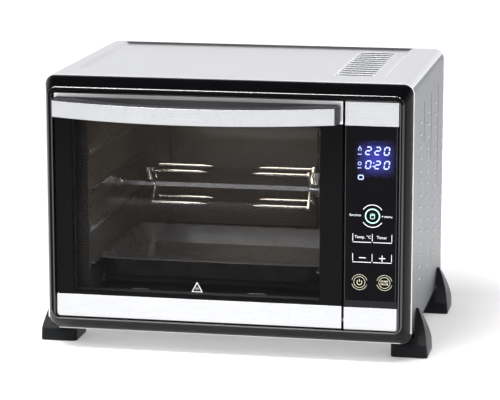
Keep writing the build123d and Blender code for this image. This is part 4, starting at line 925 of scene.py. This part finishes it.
outer_pane = pane("smoked_door_glass", (0.002, 0.002, 0.0024), 0.34, True)
inner_pane = pane("clear_inner_glass", (0.02, 0.02, 0.02), 0.12, False)
worked("outer_glass", outer_pane, edge=0.0005)
worked("inner_glass", inner_pane, edge=0.0004)
sign = stroke([(-44.3, 89.7), (-30.7, 89.7), (-37.5, 102.4)], 0.8, True)
for dx in (-1.3, 1.3):
    sign += stroke([(-37.5 + dx, 92.2), (-37.1 + dx, 93.6), (-37.9 + dx, 95.0), (-37.5 + dx, 96.4)],
                   0.45)
printed("hot_surface_sign", sign, white_ink_painted_glow.material, "door", door_face)
# The top trim is the same brushed steel as the bottom trim coloured lighter: painted light over the
# shade it lies in below the bezel rim.
top_trim_painted_light_steel = brushed("top_trim_steel_painted_light", (0.86, 0.865, 0.87), (0.96, 0.965, 0.97), (160, 1, 1),
                       0.3)
worked("top_trim", top_trim_painted_light_steel, edge=0.0003)
worked("bottom_trim", plate_steel, edge=0.0003)

# ---- Handle --------------------------------------------------------------------------------
# A bowed black grip on a base strip, both moulded and screwed through the door,
# with a brushed steel face bonded along its front.
worked("handle_base", moulded_black, edge=0.0006)
worked("handle_grip", moulded_black, edge=0.0016, segments=3, smooth=35)
worked("handle_face", plate_steel, edge=0.0004, smooth=40)
worked("handle_screws", screw_zinc)

# ---- Floor, light and camera -----------------------------------------------------------------
# A table of plain white paper in a soft white studio: an even sky, a broad sun, a
# thin strip above the front and two weak lamps in the cavity.
FLOOR_HALF = 40
floor_mesh = bpy.data.meshes.new("floor")
floor_mesh.from_pydata([
    (-FLOOR_HALF, -FLOOR_HALF, 0), (FLOOR_HALF, -FLOOR_HALF, 0),
    (FLOOR_HALF, FLOOR_HALF, 0), (-FLOOR_HALF, FLOOR_HALF, 0),
], [], [(0, 1, 2, 3)])
floor = bpy.data.objects.new("floor", floor_mesh)
bpy.context.scene.collection.objects.link(floor)
paper = Finish("white_paper", (0.86, 0.86, 0.86), Roughness=0.9, Emission_Strength=0.28)
fibre = paper.noise(0.004, 3.0)
paper.tint(fibre, (0.85, 0.85, 0.85), (0.87, 0.87, 0.87))
paper.shader.inputs["Emission Color"].default_value = (1, 1, 1, 1)
floor_mesh.materials.append(paper.material)

world = bpy.data.worlds.new("studio")
bpy.context.scene.world = world
world.use_nodes = True
sky = world.node_tree
heading = sky.nodes.new("ShaderNodeTexCoord")
parts = sky.nodes.new("ShaderNodeSeparateXYZ")
sky.links.new(heading.outputs["Generated"], parts.inputs[0])
shades = []
UPWARD = ((0.0, 1.0), (0.30, 1.0), (0.62, 0.10), (1.0, 0.06))
FRONT_TO_BACK = ((0.0, 0.75), (0.42, 0.60), (0.62, 1.0), (1.0, 1.0))
for axis, stops in ((2, UPWARD), (1, FRONT_TO_BACK)):
    ramp = sky.nodes.new("ShaderNodeValToRGB")
    ramp.color_ramp.interpolation = "EASE"
    while len(ramp.color_ramp.elements) < len(stops):
        ramp.color_ramp.elements.new(0.5)
    for element, (at, shade) in zip(ramp.color_ramp.elements, stops):
        element.position = at
        element.color = (shade, shade, shade * 1.02, 1)
    if axis == 1:
        half = sky.nodes.new("ShaderNodeMath")
        half.operation = "MULTIPLY_ADD"
        half.inputs[1].default_value = 0.5
        half.inputs[2].default_value = 0.5
        sky.links.new(parts.outputs[axis], half.inputs[0])
        sky.links.new(half.outputs[0], ramp.inputs[0])
    else:
        sky.links.new(parts.outputs[axis], ramp.inputs[0])
    shades.append(ramp)
product = sky.nodes.new("ShaderNodeMix")
product.data_type = "RGBA"
product.blend_type = "MULTIPLY"
product.inputs[0].default_value = 1.0
for slot_at, ramp in zip((6, 7), shades):
    sky.links.new(ramp.outputs[0], product.inputs[slot_at])
sky.links.new(product.outputs[2], sky.nodes["Background"].inputs[0])
sky.nodes["Background"].inputs[1].default_value = 1.05


def soft_light(name, place, target, width, height, power, color=(1, 1, 1)):
    """A rectangular lamp aimed at a point."""
    data = bpy.data.lights.new(name, "AREA")
    data.shape = "RECTANGLE"
    data.size = width
    data.size_y = height
    data.energy = power
    data.color = color
    lamp = bpy.data.objects.new(name, data)
    bpy.context.scene.collection.objects.link(lamp)
    lamp.location = place
    lamp.rotation_euler = (Vector(target) - Vector(place)).to_track_quat("-Z", "Y").to_euler()


soft_light("rim_strip", (0.0, -1.1, 2.0), (0, 0, 0.3), 2.2, 0.07, 44)
sun = bpy.data.lights.new("key", "SUN")
sun.energy = 2.8
sun.angle = math.radians(40)
key = bpy.data.objects.new("key", sun)
bpy.context.scene.collection.objects.link(key)
key.rotation_euler = Vector((0.45, 0.5, -0.9)).to_track_quat("-Z", "Y").to_euler()

cavity_lo, cavity_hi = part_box("cavity_left")
cavity_mid = (cavity_lo.y + cavity_hi.y) / 2
soft_light("cavity_glow", (-0.03, cavity_mid, cavity_hi.z - 0.004), (-0.03, cavity_mid, 0),
           0.2, 0.2, 1.2, (1.0, 0.88, 0.72))
soft_light("door_fill", (-0.034, y_case - 0.001, 0.21), (-0.034, y_case + 0.045, 0.10),
           0.26, 0.02, 0.35)

scene = bpy.context.scene
scene.view_settings.view_transform = "Standard"
lens = bpy.data.cameras.new("camera")
lens.lens = 168.8
lens.sensor_width = 36.0
lens.clip_end = 200
camera = bpy.data.objects.new("camera", lens)
scene.collection.objects.link(camera)
camera.location = (0.61325, y_case - 3.0128, 0.82758)
camera.rotation_euler = (math.radians(78.697), 0, math.radians(10.937))
scene.camera = camera
